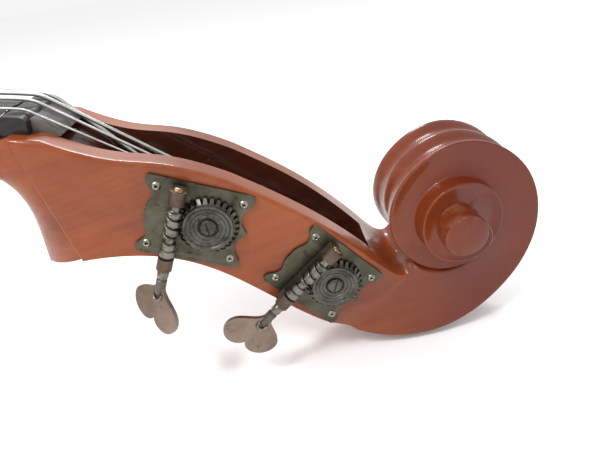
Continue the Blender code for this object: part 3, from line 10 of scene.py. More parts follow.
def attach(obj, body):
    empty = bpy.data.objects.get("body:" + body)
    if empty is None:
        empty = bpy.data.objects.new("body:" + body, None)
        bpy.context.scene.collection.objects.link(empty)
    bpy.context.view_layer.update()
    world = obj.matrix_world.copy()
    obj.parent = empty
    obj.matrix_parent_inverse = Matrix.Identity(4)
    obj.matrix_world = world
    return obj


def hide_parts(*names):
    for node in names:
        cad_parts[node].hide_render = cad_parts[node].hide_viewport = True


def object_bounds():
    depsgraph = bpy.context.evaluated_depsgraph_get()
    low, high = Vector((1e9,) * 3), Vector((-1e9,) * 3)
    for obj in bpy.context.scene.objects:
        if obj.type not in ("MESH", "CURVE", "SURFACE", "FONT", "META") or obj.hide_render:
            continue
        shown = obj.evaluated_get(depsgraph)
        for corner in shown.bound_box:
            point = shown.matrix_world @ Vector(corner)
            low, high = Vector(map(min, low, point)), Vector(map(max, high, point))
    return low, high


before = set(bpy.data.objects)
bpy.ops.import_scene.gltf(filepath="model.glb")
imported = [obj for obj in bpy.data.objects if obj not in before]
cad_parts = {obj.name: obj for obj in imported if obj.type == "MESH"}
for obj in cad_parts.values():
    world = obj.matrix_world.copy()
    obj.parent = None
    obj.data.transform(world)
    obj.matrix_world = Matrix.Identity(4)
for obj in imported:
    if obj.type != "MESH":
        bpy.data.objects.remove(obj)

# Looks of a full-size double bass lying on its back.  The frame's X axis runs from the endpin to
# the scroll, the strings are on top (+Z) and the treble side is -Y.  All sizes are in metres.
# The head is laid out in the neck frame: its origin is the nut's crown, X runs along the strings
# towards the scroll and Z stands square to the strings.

CAD_LOW, CAD_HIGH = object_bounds()
GAP = 0.0003                      # between pieces that touch

# Neck frame
NUT = Vector((0.659, 0.0, 0.190))
NECK_ANGLE = math.radians(11.5)
NECK = Matrix.Translation(NUT) @ Matrix.Rotation(NECK_ANGLE, 4, "Y")

# Body
TAIL_X, BODY_LENGTH = -0.877, 1.110
HEAD_X = TAIL_X + BODY_LENGTH
EDGE_TOP_Z, PLATE_EDGE, TOP_ARCH = 0.203, 0.007, 0.033
SPINE_START, SPINE_END = -0.677, 0.053
OVERHANG, RIB = 0.006, 0.003
BACK_BEND_X, BACK_RISE = -0.007, 0.040
HEEL_HALF = 0.031
BRIDGE_X, BRIDGE_TOP_Z = -0.375, 0.4005
BRIDGE_CROWN_R = 0.085
FINGERBOARD_START, FINGERBOARD_END_X = -0.0085, -0.145     # from the nut; in the body's frame
FINGERBOARD_HALF = (0.0225, 0.0430)                        # at the nut and at the free end
F_HOLE_X, F_HOLE_Y, F_HOLE_STRETCH = BRIDGE_X + 0.004, 0.118, 1.22
F_HOLE_EYES = ((1, 0.0085), (-1, 0.0125))         # end of the stem, radius
F_HOLE_CUT = (0.185, 0.285)       # heights that the cutters span
RIB_LEVELS = (0.0, 0.008, 0.02, 0.5, 0.98, 0.992, 1.0)     # rows of a rib, from back to top
PURFLING_LINES, PURFLING_HALF = (0.0060, 0.0078), 0.0004   # in from the edge, half width
LOWER_BOUT = [((0, 0), (0, 0.19), (0.11, 0.33), (0.27, 0.33)),
              ((0.27, 0.33), (0.355, 0.33), (0.415, 0.24), (0.48, 0.268))]
CENTRE_BOUT = [((0.489, 0.26), (0.512, 0.225), (0.545, 0.1825), (0.605, 0.1825)),
               ((0.605, 0.1825), (0.655, 0.1825), (0.69, 0.196), (0.716, 0.222))]
UPPER_BOUT = [((0.727, 0.229), (0.76, 0.208), (0.79, 0.252), (0.865, 0.252)),
              ((0.865, 0.252), (0.94, 0.252), (1.0, 0.195), (1.045, 0.13)),
              ((1.045, 0.13), (1.075, 0.087), (1.09, 0.05), (1.11, 0.042))]

# Head, in the neck frame: (x, z) of the centre plane
CHEEK_HALF, CHEEK_WALL, CHIN_HALF = 0.0326, 0.0138, 0.0287
GLUE_Z, GLUE_SLOPE = -0.014, 0.01875
PEGBOX_FRONT = [((0.011, -0.012), (0.0575, -0.0303), (0.0515, -0.0138), (0.101, -0.0317)),
                ((0.101, -0.0317), (0.1386, -0.048), (0.157, -0.0584), (0.192, -0.0862)),
                ((0.192, -0.0862), (0.199, -0.0915), (0.208, -0.099), (0.2122, -0.0875))]
PEGBOX_BACK = [((0.0227, -0.0798), (0.0992, -0.0639), (0.1132, -0.111), (0.1853, -0.1368))]
CHIN_SEAM = ((-0.0027, -0.0118), (0.0216, -0.0802))
CHIN_TIP = (-0.0082, -0.0923)
CHIN_FRONT = [(CHIN_TIP, (-0.0105, -0.0636), (-0.0049, -0.0384), (-0.040, -0.0332))]
CHIN_FLARE, PIER_ROUNDNESS = 1.93, 1.8
SHAFT_UNDER = ((-0.040, -0.0332), (-0.200, -0.0360), (-0.322, -0.0415))
SHAFT_HALF = (0.0225, 0.0255, 0.0285)
HEEL_FOOT_X, HEEL_FOOT_HALF = 0.256, 0.020
NUT_FRONT, NUT_BACK, NUT_HALF = -0.0078, 0.0050, 0.0238

SCROLL_CENTRE = (0.2295, -0.0575)
THROAT_ANGLE, SPIRAL_END, SPIRAL_STEP = -120, 780, 5
RIM_RADIUS = {-135: 0.0960, -90: 0.0850, -45: 0.0665, 0: 0.0565, 45: 0.0510, 90: 0.0470,
              135: 0.0400, 180: 0.0360, 225: 0.0343, 270: 0.0355, 315: 0.0340, 360: 0.0308,
              450: 0.0265, 540: 0.0207, 630: 0.0202, 700: 0.0182, 760: 0.0142, 830: 0.0128}
HALF_WIDTH = {-120: 0.0282, -90: 0.0265, 0: 0.0220, 90: 0.0205, 180: 0.0215, 270: 0.0240,
              360: 0.0270, 450: 0.0310, 540: 0.0350, 630: 0.0390, 720: 0.0440, 830: 0.0450}
EYE_CENTRE, EYE_RADIUS, EYE_HALF, EYE_BORE = (0.2296, -0.0559), 0.0125, 0.0472, 0.008
FLUTE_DEPTH, DISH = 0.0035, 0.0010
SEAM_BEVEL = ((0.0, 0.0011), (0.0004, 0.0005), (0.0010, 0.0001), (0.0016, 0.0))   # along, set in
EDGE_ROUND = 0.0009               # rounding of the carved edges

# Strings: name, across the nut, diameter; the silk is wound on at the tailpiece end
STRINGS = (("g", -0.015, 0.0013), ("d", -0.005, 0.0017), ("a", 0.005, 0.0022), ("e", 0.015, 0.0028))
BRIDGE_SPREAD, TAILPIECE_SPREAD, ROLLER_SPREAD = 2.9, 1.6, 0.55
NUT_CROWN = {"g": -0.0018, "d": 0.0004, "a": 0.0006, "e": -0.0010}
WOUND_UNDER = {"d": 0.0020}

# Tuning machines: name, side, plate centre in the neck frame, tilt, turn of the key
MACHINES = (("g", -1, (0.0829, -0.0552), 13.0, -44.0), ("d", -1, (0.1555, -0.0908), 38.1, 4.0),
            ("e", 1, (0.0430, -0.0475), 6.0, 70.0), ("a", 1, (0.1195, -0.0715), 25.0, 20.0))
PLATE_LOW, PLATE_THICK = GAP, 0.0015
SCREW_SPACING = (0.045, 0.0342)
GEAR_CENTRE, GEAR_TEETH = (0.0070, 0.0011), 28
GEAR_HUB_R, GEAR_TIP_R, GEAR_ROOT_R = 0.0137, 0.0166, 0.0142
GEAR_BASE, GEAR_TOOTH_TOP, GEAR_RIM_TOP = 0.0021, 0.0034, 0.0068
GEAR_SHOULDER_R, GEAR_ROOT_TOP = 0.0155, 0.0058        # a tooth's shoulder; its height at the root
WORM_X, WORM_HEIGHT, WORM_R, WORM_CORE, WORM_PITCH = -0.0110, 0.0085, 0.0040, 0.0025, 0.0051
ROLLER_R, ROLLER_NECK_R, ROLLER_TAIL_R = 0.0072, 0.0058, 0.0050

END_Z, SOCKET_BODY_R = 0.105, 0.016
SOCKET_X = TAIL_X + OVERHANG - 0.002
THUMBSCREW_X = SOCKET_X - 0.0235
ENDPIN_R, ENDPIN_LENGTH = 0.005, 0.36
TAILPIECE_FRONT, TAILPIECE_BACK = (-0.500, 0.3545), (-0.800, 0.2465)


# --------------------------------------------------------------------------- shape helpers

def clamp01(t):
    return min(max(t, 0.0), 1.0)


def smooth_step(t):
    t = clamp01(t)
    return t * t * (3 - 2 * t)


def bezier_points(curves, count):
    """Points along joined cubic curves, count steps on each."""
    points = []
    for a, b, c, d in curves:
        for i in range(count):
            t = i / count
            s = 1 - t
            points.append(tuple(s ** 3 * a[k] + 3 * s * s * t * b[k] + 3 * s * t * t * c[k]
                                + t ** 3 * d[k] for k in range(len(a))))
    points.append(tuple(curves[-1][3]))
    return points


def resample(points, count):
    """Points spaced evenly along a line, end points kept."""
    path = np.array(points, float)
    run = np.concatenate([[0], np.cumsum(np.linalg.norm(np.diff(path, axis=0), axis=1))])
    at = np.linspace(0, run[-1], count)
    return np.stack([np.interp(at, run, path[:, k]) for k in range(path.shape[1])], axis=1)


def smooth_path(points, count):
    """A smooth line through a few points (Catmull-Rom), count steps between each two."""
    ends = [2 * Vector(points[0]) - Vector(points[1]), *map(Vector, points),
            2 * Vector(points[-1]) - Vector(points[-2])]
    path = []
    for a, b, c, d in zip(ends, ends[1:], ends[2:], ends[3:]):
        for i in range(count):
            t = i / count
            path.append(0.5 * ((2 * b) + (c - a) * t + (2 * a - 5 * b + 4 * c - d) * t * t
                               + (3 * b - a - 3 * c + d) * t ** 3))
    return path + [Vector(points[-1])]


def from_table(table, at):
    """Smooth curve through a table of values (Catmull-Rom on uneven steps)."""
    keys = sorted(table)
    i = min(max(sum(k <= at for k in keys) - 1, 0), len(keys) - 2)
    k0, k1 = keys[i], keys[i + 1]
    before, after = keys[max(i - 1, 0)], keys[min(i + 2, len(keys) - 1)]
    slope0 = (table[k1] - table[before]) / (k1 - before)
    slope1 = (table[after] - table[k0]) / (after - k0)
    span = k1 - k0
    t = (at - k0) / span
    return ((2 * t ** 3 - 3 * t * t + 1) * table[k0] + (t ** 3 - 2 * t * t + t) * span * slope0
            + (3 * t * t - 2 * t ** 3) * table[k1] + (t ** 3 - t * t) * span * slope1)


def circle_points(centre, radius, count, start=0.0):
    turns = [start + 2 * math.pi * i / count for i in range(count)]
    return [(centre[0] + radius * math.cos(a), centre[1] + radius * math.sin(a)) for a in turns]


def finish_mesh(name, bm, smooth=35):
    mesh = bpy.data.meshes.new(name)
    bm.to_mesh(mesh)
    bm.free()
    mesh.shade_smooth()
    mesh.set_sharp_from_angle(angle=math.radians(smooth))
    return mesh


def grid_mesh(name, grids, caps=(), smooth=35, weld=0.00002, mirror=False):
    """Join grids of points and cap loops into one welded surface, mirrored in Y if asked."""
    bm = bmesh.new()
    flips = (1, -1) if mirror else (1,)
    for flip in flips:
        for rows in grids:
            made = [[bm.verts.new((p[0], p[1] * flip, p[2])) for p in row] for row in rows]
            for row, following in zip(made, made[1:]):
                for a, b, c, d in zip(row, row[1:], following[1:], following):
                    bm.faces.new((a, b, c, d))
        for loop in caps:
            bm.faces.new([bm.verts.new((p[0], p[1] * flip, p[2])) for p in loop])
    bmesh.ops.remove_doubles(bm, verts=bm.verts, dist=weld)
    bmesh.ops.recalc_face_normals(bm, faces=bm.faces)
    return finish_mesh(name, bm, smooth)


def lathe_mesh(name, profile, steps=48, smooth=35):
    """A profile of (radius, height), turned about Z and closed where it meets the axis."""
    rows = []
    for i in range(steps + 1):
        turn = 2 * math.pi * i / steps
        rows.append([(r * math.cos(turn), r * math.sin(turn), z) for r, z in profile])
    return grid_mesh(name, [rows], (), smooth, 0.000005)


def tube_mesh(name, path, radius, sides=10):
    """A round bar along a line, with flat caps at its ends; the radius may change along it."""
    path = [Vector(p) for p in path]
    radii = radius if isinstance(radius, list) else [radius] * len(path)
    across = Vector((0, 0, 1))
    rows = []
    for i, (point, size) in enumerate(zip(path, radii)):
        along = (path[min(i + 1, len(path) - 1)] - path[max(i - 1, 0)]).normalized()
        across = (across - along * across.dot(along)).normalized()
        other = along.cross(across)
        row = [point + across * size * math.cos(2 * math.pi * k / sides)
               + other * size * math.sin(2 * math.pi * k / sides) for k in range(sides + 1)]
        rows.append(row)
    return grid_mesh(name, [rows], [rows[0][:-1], rows[-1][:-1]], 50, 0.000005)


def slab_mesh(name, outlines, low, high):
    """A flat plate between two heights; outlines after the first are holes."""
    curve = bpy.data.curves.new(name, "CURVE")
    curve.dimensions = "2D"
    curve.fill_mode = "BOTH"
    curve.extrude = (high - low) / 2
    for outline in outlines:
        spline = curve.splines.new("POLY")
        spline.points.add(len(outline) - 1)
        for point, (x, y) in zip(spline.points, outline):
            point.co = (x, y, 0.0, 1.0)
        spline.use_cyclic_u = True
    guide = bpy.data.objects.new(name, curve)
    bpy.context.scene.collection.objects.link(guide)
    mesh = evaluated_mesh(guide)
    mesh.transform(Matrix.Translation((0, 0, (high + low) / 2)))
    return mesh


def evaluated_mesh(guide):
    """The welded mesh that an object's modifiers or curve make; the object is removed."""
    bpy.context.view_layer.update()
    graph = bpy.context.evaluated_depsgraph_get()
    mesh = bpy.data.meshes.new_from_object(guide.evaluated_get(graph))
    bpy.data.objects.remove(guide, do_unlink=True)
    bm = bmesh.new()
    bm.from_mesh(mesh)
    bmesh.ops.remove_doubles(bm, verts=bm.verts, dist=0.000005)
    bm.to_mesh(mesh)
    bm.free()
    return mesh


def cut_mesh(name, mesh, cutters, operation="DIFFERENCE", smooth=35):
    """A mesh with others cut out of it, or joined to it."""
    base = bpy.data.objects.new(name, mesh)
    bpy.context.scene.collection.objects.link(base)
    tools = []
    for cutter in cutters:
        tool = bpy.data.objects.new("cutter", cutter)
        bpy.context.scene.collection.objects.link(tool)
        modifier = base.modifiers.new("Cut", "BOOLEAN")
        modifier.operation = operation
        modifier.object = tool
        tools.append(tool)
    result = evaluated_mesh(base)
    for tool in tools:
        bpy.data.objects.remove(tool, do_unlink=True)
    result.shade_smooth()
    result.set_sharp_from_angle(angle=math.radians(smooth))
    return result


def joined_mesh(name, meshes):
    """Several meshes as one, each keeping its own place."""
    bm = bmesh.new()
    for mesh in meshes:
        bm.from_mesh(mesh)
    return finish_mesh(name, bm)


def box_mesh(name, low, high):
    bm = bmesh.new()
    bmesh.ops.create_cube(bm, size=1.0)
    low, high = Vector(low), Vector(high)
    middle = Matrix.Translation((low + high) / 2)
    bmesh.ops.transform(bm, verts=bm.verts, matrix=middle @ Matrix.Diagonal((*(high - low), 1.0)))
    return finish_mesh(name, bm)


def add_piece(name, mesh, material, body="root", replaces=(), matrix=None, bevel=0.0):
    """Link a mesh as a visible piece that rides on a body."""
    if matrix is not None:
        mesh.transform(matrix)
    piece = bpy.data.objects.new(name, mesh)
    bpy.context.scene.collection.objects.link(piece)
    if not mesh.materials:
        mesh.materials.append(material)
    if bevel:
        modifier = piece.modifiers.new("Edges", "BEVEL")
        modifier.width = bevel
        modifier.segments = 3
        modifier.limit_method = "ANGLE"
        modifier.angle_limit = math.radians(40)
        modifier.harden_normals = True
    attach(piece, body)
    if replaces:
        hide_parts(*replaces)
    return piece


# --------------------------------------------------------------------------- places on the body

def bout_points(curves, count, offset=0.0):
    """A bout's half outline (half widths positive), set in from the plates' edge."""
    path = resample(bezier_points(curves, 40), count)
    direction = np.gradient(path, axis=0)
    direction /= np.linalg.norm(direction, axis=1)[:, None]
    path = path + np.stack([direction[:, 1], -direction[:, 0]], axis=1) * offset
    path[:, 1] = np.maximum(path[:, 1], 0.0)
    return with_bend([(TAIL_X + s, half) for s, half in path])


def with_bend(path):
    """The path with a point of its own where the back starts to bend up."""
    for i, ((x0, y0), (x1, y1)) in enumerate(zip(path, path[1:])):
        if x0 < BACK_BEND_X < x1:
            share = (BACK_BEND_X - x0) / (x1 - x0)
            return path[:i + 1] + [(BACK_BEND_X, y0 + (y1 - y0) * share)] + path[i + 1:]
    return path


def half_outline(count, offset=0.0):
    """The whole half outline from the tail to the heel, closed on the centre line."""
    points = bout_points(LOWER_BOUT, count, offset)
    points += bout_points(CENTRE_BOUT, count * 2 // 3, offset)
    points += bout_points(UPPER_BOUT, count, offset)
    return points + [(points[-1][0], 0.0)]


def back_height(x):
    return BACK_RISE * max(0.0, (x - BACK_BEND_X) / (HEAD_X - BACK_BEND_X))


def arch_share(t):
    """Rise of the top's arch from the edge channel (0) to the middle (1)."""
    return 0.5 - 0.5 * math.cos(math.pi * clamp01(t) ** 0.9)


def top_surface(x, y):
    width = float(np.interp(x, *zip(*half_outline(60))))
    return EDGE_TOP_Z + PLATE_EDGE + TOP_ARCH * arch_share(1 - abs(y) / width)


def to_neck(x, z):
    """Object frame (x, z) to neck frame (x, z)."""
    point = NECK.inverted() @ Vector((x, 0.0, z))
    return point.x, point.z


def to_object(x, z):
    """Neck frame (x, z) to object frame (x, z)."""
    point = NECK @ Vector((x, 0.0, z))
    return point.x, point.z


# --------------------------------------------------------------------------- neck, pegbox and scroll

ACROSS, CORNER, SIDE = 14, 4, 12  # steps of a section: across a face, round a corner, along a side


def glue_z(x):
    """Underside of the fingerboard, which leaves the strings' plane towards the body."""
    return GLUE_Z + GLUE_SLOPE * min(x, 0.0)


def spiral_point(angle):
    radius = from_table(RIM_RADIUS, angle)
    turn = math.radians(angle)
    return SCROLL_CENTRE[0] + radius * math.cos(turn), SCROLL_CENTRE[1] + radius * math.sin(turn)


def corner_arc(before, corner, after, radius):
    """A rounded corner between two directions."""
    before, corner, after = Vector(before), Vector(corner), Vector(after)
    start = corner + (before - corner).normalized() * min(radius, (before - corner).length * 0.5)
    end = corner + (after - corner).normalized() * min(radius, (after - corner).length * 0.5)
    points = []
    for i in range(CORNER + 1):
        t = i / CORNER
        points.append(tuple(start * (1 - t) ** 2 + corner * 2 * t * (1 - t) + end * t * t))
    return points


def side_points(start, end):
    """Points strictly between two ends of a side."""
    start, end = Vector(start), Vector(end)
    return [tuple(start.lerp(end, i / SIDE)) for i in range(1, SIDE)]


def across_points(point, half, outward, depth, valley=0.0):
    """Points from an edge to the centre plane, over a hollow in each half or one valley."""
    row = []
    for i in range(ACROSS + 1):
        share = i / ACROSS
        hollow = depth * (math.sin(math.pi * share) ** 2 * (1 - valley)
                          + math.sin(math.pi / 2 * share) ** 2 * valley)
        row.append((point[0] - outward[0] * hollow, -half * (1 - share),
                    point[1] - outward[1] * hollow))
    return row


def pier_half(x, face, front, half):
    """Half width of an upright pier whose plan is half an ellipse ahead of a flat face."""
    share = min(abs((face - x) / (face - front)), 1.0)
    return half * math.sqrt(max(0.0, 1 - share ** PIER_ROUNDNESS))


def heel_face_x():
    return HEAD_X - OVERHANG + GAP


def heel_foot_z():
    return BACK_RISE + PLATE_EDGE + 2 * GAP


def heel_curve(count):
    """The heel's front, from its foot up into the underside of the shaft."""
    return bezier_points([((HEEL_FOOT_X, heel_foot_z()), (0.262, 0.150), (0.262, 0.196),
                           to_object(*SHAFT_UNDER[2]))], count)


def no_pier(x, z):
    return 0.0


def chin_half(x, z):
    (x0, z0), (x1, z1) = CHIN_SEAM
    face = x0 + (x1 - x0) * (z - z0) / (z1 - z0)
    curve = bezier_points(CHIN_FRONT, 24)
    front = float(np.interp(z, [p[1] for p in curve], [p[0] for p in curve]))
    return pier_half(x, face, front, CHIN_HALF)


def heel_half(x, z):
    ox, oz = to_object(x, z)
    curve = heel_curve(24)
    front = float(np.interp(oz, [p[1] for p in curve], [p[0] for p in curve]))
    rise = clamp01((oz - heel_foot_z()) / (EDGE_TOP_Z - heel_foot_z()))
    half = HEEL_FOOT_HALF + (HEEL_HALF - HEEL_FOOT_HALF) * rise ** 0.8
    return pier_half(ox, heel_face_x(), front, half)


def heel_sections():
    """Sections of the heel, from its flat face to where the shaft begins."""
    face_x = heel_face_x()
    foot = [(face_x + (HEEL_FOOT_X - face_x) * i / 6, heel_foot_z()) for i in range(6)]
    curve = heel_curve(24)[:-1]
    glue_end = to_object(SHAFT_UNDER[2][0], glue_z(SHAFT_UNDER[2][0]))[0]
    cos, sin = math.cos(NECK_ANGLE), math.sin(NECK_ANGLE)
    shares = [0.25 * i / 6 for i in range(6)] + [0.25 + 0.75 * i / 24 for i in range(24)]
    sections = []
    for back, share in zip(foot + curve, shares):
        front_x = face_x + (glue_end - face_x) * share ** 1.3
        station = (front_x - NUT.x - GLUE_Z * sin) / (cos + GLUE_SLOPE * sin)
        half = HEEL_HALF + (SHAFT_HALF[2] - HEEL_HALF) * share
        sections.append(((station, glue_z(station)), to_neck(*back), half,
                         1 - smooth_step(2 * share - 1), heel_half))
    return sections


def chin_sections():
    """Sections from the end of the round shaft to the seam against the cheeks."""
    steps = 24
    curve = bezier_points(CHIN_FRONT, steps)[::-1]
    shaft_end, chin_x = SHAFT_UNDER[0][0], -0.007
    sections = []
    for i, back in enumerate(curve[1:], start=1):
        share = i / steps
        front_x = shaft_end + (chin_x - shaft_end) * share
        half = SHAFT_HALF[0] + (CHIN_HALF - SHAFT_HALF[0]) * smooth_step(share)
        sections.append(((front_x, glue_z(front_x)), back, half,
                         smooth_step(share * CHIN_FLARE), chin_half))
    seam_front, seam_back = CHIN_SEAM
    for share in (0.2, 0.4, 0.6, 0.8, 1.0):
        back = (CHIN_TIP[0] + (seam_back[0] - CHIN_TIP[0]) * share,
                CHIN_TIP[1] + (seam_back[1] - CHIN_TIP[1]) * share)
        front = (chin_x + (seam_front[0] - chin_x) * share,
                 glue_z(chin_x) + (seam_front[1] - glue_z(chin_x)) * share)
        sections.append((front, back, CHIN_HALF, 1.0, chin_half))
    return sections


def shaft_sections():
    stations = [(x, z, half) for (x, z), half in zip(SHAFT_UNDER[::-1], SHAFT_HALF[::-1])]
    return [((p.x, glue_z(p.x)), (p.x, p.y), p.z, 0.0, no_pier)
            for p in smooth_path(stations, 8)]


def neck_rows():
    """Rows for the neck: front centre, side (round under the shaft), back centre."""
    around = 2 * CORNER + SIDE
    rows = []
    for front, back, half, pier, pier_width in heel_sections() + shaft_sections() + chin_sections():
        side = []
        for i in range(around + 1):
            share = 1 - math.sin(math.pi / 2 * i / around)
            x = back[0] + (front[0] - back[0]) * share
            z = back[1] + (front[1] - back[1]) * share
            round_half = half * math.sqrt(max(0.0, 1 - (1 - share) ** 2))
            width = round_half * (1 - pier) + pier_width(x, z) * pier
            side.append((x, -max(width, 0.0001 * (around - i)), z))
        top_half, edge = -side[0][1], -side[-1][1]
        row = [(front[0], -top_half * i / (ACROSS + 1), front[1]) for i in range(ACROSS + 1)] + side
        row += [(back[0], -edge * (1 - i / ACROSS), back[1]) for i in range(1, ACROSS + 1)]
        rows.append(row)
    return rows


def at_shares(points, shares):
    """Places at the given shares of a line's length."""
    path = np.array(points, float)
    run = np.concatenate([[0], np.cumsum(np.linalg.norm(np.diff(path, axis=0), axis=1))])
    return np.stack([np.interp(np.array(shares) * run[-1], run, path[:, k])
                     for k in range(path.shape[1])], axis=1)


def pegbox_rows():
    """Rows for the pegbox, from the cheeks' bevelled edge behind the chin to the throat."""
    shares = [0.0] * 4 + list(np.linspace(0.006, 1.0, 74))
    fronts = at_shares(bezier_points(PEGBOX_FRONT, 40), shares)
    backs = at_shares(bezier_points(PEGBOX_BACK, 80),
                      [s * (1 - 0.035 * smooth_step((s - 0.8) / 0.2)) for s in shares])
    for i, (along, _) in enumerate(SEAM_BEVEL):
        fronts[i] = CHIN_SEAM[0][0] + along, CHIN_SEAM[0][1]
        backs[i] = CHIN_SEAM[1][0] + along * 0.6, CHIN_SEAM[1][1] + along * 0.2
    throat_half = from_table(HALF_WIDTH, THROAT_ANGLE + 360)
    rows = []
    for i, (share, front, back) in enumerate(zip(shares, fronts, backs)):
        half = CHEEK_HALF + (HALF_WIDTH[THROAT_ANGLE] - CHEEK_HALF) * (
            smooth_step((share - 0.82) / 0.18))
        half -= SEAM_BEVEL[i][1] if i < len(SEAM_BEVEL) else 0.0
        ahead = backs[min(i + 1, len(backs) - 1)] - backs[max(i - 1, 0)]
        ahead /= np.linalg.norm(ahead)
        to_throat = smooth_step((share - 0.8) / 0.2)
        inner = half - 0.0045 + (throat_half - half + 0.0045) * to_throat
        front_round = 0.0024 + (EDGE_ROUND - 0.0024) * to_throat
        edge, far = (front[0], -half, front[1]), (back[0], -half, back[1])
        front_arc = corner_arc((front[0], 0, front[1]), edge, far, front_round)
        back_arc = corner_arc(edge, far, (back[0], 0, back[1]), EDGE_ROUND)
        flute = across_points(back, -back_arc[-1][1], (ahead[1], -ahead[0]),
                              FLUTE_DEPTH * smooth_step(share / 0.1))
        rise = fronts[min(i + 1, len(fronts) - 1)] - fronts[max(i - 1, 0)]
        rise /= max(np.linalg.norm(rise), 1e-9)
        row = []
        for k in range(ACROSS + 1):
            hollow = to_throat * FLUTE_DEPTH * math.cos(math.pi / 2 * k / ACROSS) ** 2
            row.append((front[0] + rise[1] * hollow, -inner * k / ACROSS,
                        front[1] - rise[0] * hollow))
        rows.append(row + front_arc + side_points(front_arc[-1], back_arc[0])
                    + back_arc + flute[1:])
    return rows


def scroll_rows():
    """Side and wall rows of the spiral, and the fluted rows of its outer turn."""
    sides, flutes = [], []
    last_base = SPIRAL_END - 360
    for angle in range(THROAT_ANGLE, SPIRAL_END + 1, SPIRAL_STEP):
        rim, half = spiral_point(angle), from_table(HALF_WIDTH, angle)
        if angle <= last_base:
            inner = spiral_point(angle + 360)
            top = from_table(HALF_WIDTH, angle + 360) - EDGE_ROUND
        else:
            turn = math.radians(angle)
            inner = (SCROLL_CENTRE[0] + EYE_BORE * math.cos(turn),
                     SCROLL_CENTRE[1] + EYE_BORE * math.sin(turn))
            top = from_table(HALF_WIDTH, last_base)
        above, foot = (inner[0], -top, inner[1]), (inner[0], -half, inner[1])
        edge, under = (rim[0], -half, rim[1]), (rim[0], 0, rim[1])
        foot_arc = corner_arc(above, foot, edge, 0.0022)
        edge_arc = corner_arc(foot, edge, under, EDGE_ROUND)
        side = side_points(foot_arc[-1], edge_arc[0])
        side = [(x, y + DISH * math.sin(math.pi * (i + 1) / SIDE), z)
                for i, (x, y, z) in enumerate(side)]
        sides.append([above] + foot_arc + side + edge_arc)
        if angle <= THROAT_ANGLE + 360:
            ahead, behind = spiral_point(angle + 1), spiral_point(angle - 1)
            along = Vector((ahead[0] - behind[0], ahead[1] - behind[1])).normalized()
            valley = smooth_step((angle - THROAT_ANGLE - 250) / 100)
            flutes.append(across_points(rim, half - EDGE_ROUND, (along.y, -along.x), FLUTE_DEPTH,
                                        valley))
    return sides, flutes


def mortise_mesh():
    """The pegbox's hollow: a ramp behind the nut, then a floor that follows the back."""
    backs = resample(bezier_points(PEGBOX_BACK, 32), 60)
    floor_above, fillet = 0.015, 0.0025
    stations = [(0.0030, GLUE_Z + 0.0005), (0.031, -0.0290), (0.042, -0.0560)]
    stations += [(x, float(np.interp(x, backs[:, 0], backs[:, 1])) + floor_above)
                 for x in (0.062, 0.09, 0.115, 0.14, 0.163)]
    stations += [(0.1715, -0.1110), (0.1815, -0.0990), (0.1868, -0.0790)]
    path = [Vector(p) for p in smooth_path([(x, z, 0) for x, z in stations], 5)]
    path[0] = Vector((*stations[0], 0))
    rows = []
    for x, floor, _ in path:
        half = CHEEK_HALF - CHEEK_WALL - 0.0035 * smooth_step((x - 0.13) / 0.065)
        arc = corner_arc((x, half, floor + 0.02), (x, half, floor), (x, 0, floor), fillet)
        row = [(x, half, 0.020)] + arc
        rows.append(row + [(px, -py, pz) for px, py, pz in row[::-1]] + [row[0]])
    return grid_mesh("mortise", [rows], [rows[0][:-1], rows[-1][:-1]])


def bar_mesh(name, start, end, radius, sides=40):
    """A straight round bar between two points."""
    start, end = Vector(start), Vector(end)
    bar = lathe_mesh(name, [(0, 0), (radius, 0), (radius, (end - start).length),
                            (0, (end - start).length)], sides)
    turn = (end - start).to_track_quat("Z", "Y").to_matrix().to_4x4()
    bar.transform(Matrix.Translation(start) @ turn)
    return bar


def roller_bores():
    """Cutters for the rollers' holes: the neck's in the near cheek, the tail's in the far one."""
    cutters = []
    for machine in MACHINES:
        side = machine[1]
        x, _, z = machine_point(machine, *GEAR_CENTRE, 0)
        near, far = side * (CHEEK_HALF + 0.01), side * CHEEK_HALF * 0.5
        cutters.append(bar_mesh("bore", (x, near, z), (x, far, z), ROLLER_NECK_R + GAP))
        near, far = -side * CHEEK_HALF * 0.5, -side * (CHEEK_HALF - CHEEK_WALL + 0.0085)
        cutters.append(bar_mesh("bore", (x, near, z), (x, far, z), ROLLER_TAIL_R + GAP))
    return cutters


def paint_pegbox_shade(mesh, mortise):
    """Give the walls and floor of the pegbox's hollow a darker copy of the varnish: painted shade in
    the hollow.
    """
    hollow = BVHTree.FromPolygons([v.co for v in mortise.vertices],
                                  [tuple(p.vertices) for p in mortise.polygons])
    mesh.materials.append(NECK_MAPLE)
    mesh.materials.append(PEGBOX_SHADE_MAPLE)
    for polygon in mesh.polygons:
        # Faces on the hollow's walls and floor get the darker varnish: painted shade.
        polygon.material_index = int(hollow.find_nearest(polygon.center)[3] < 0.00003)


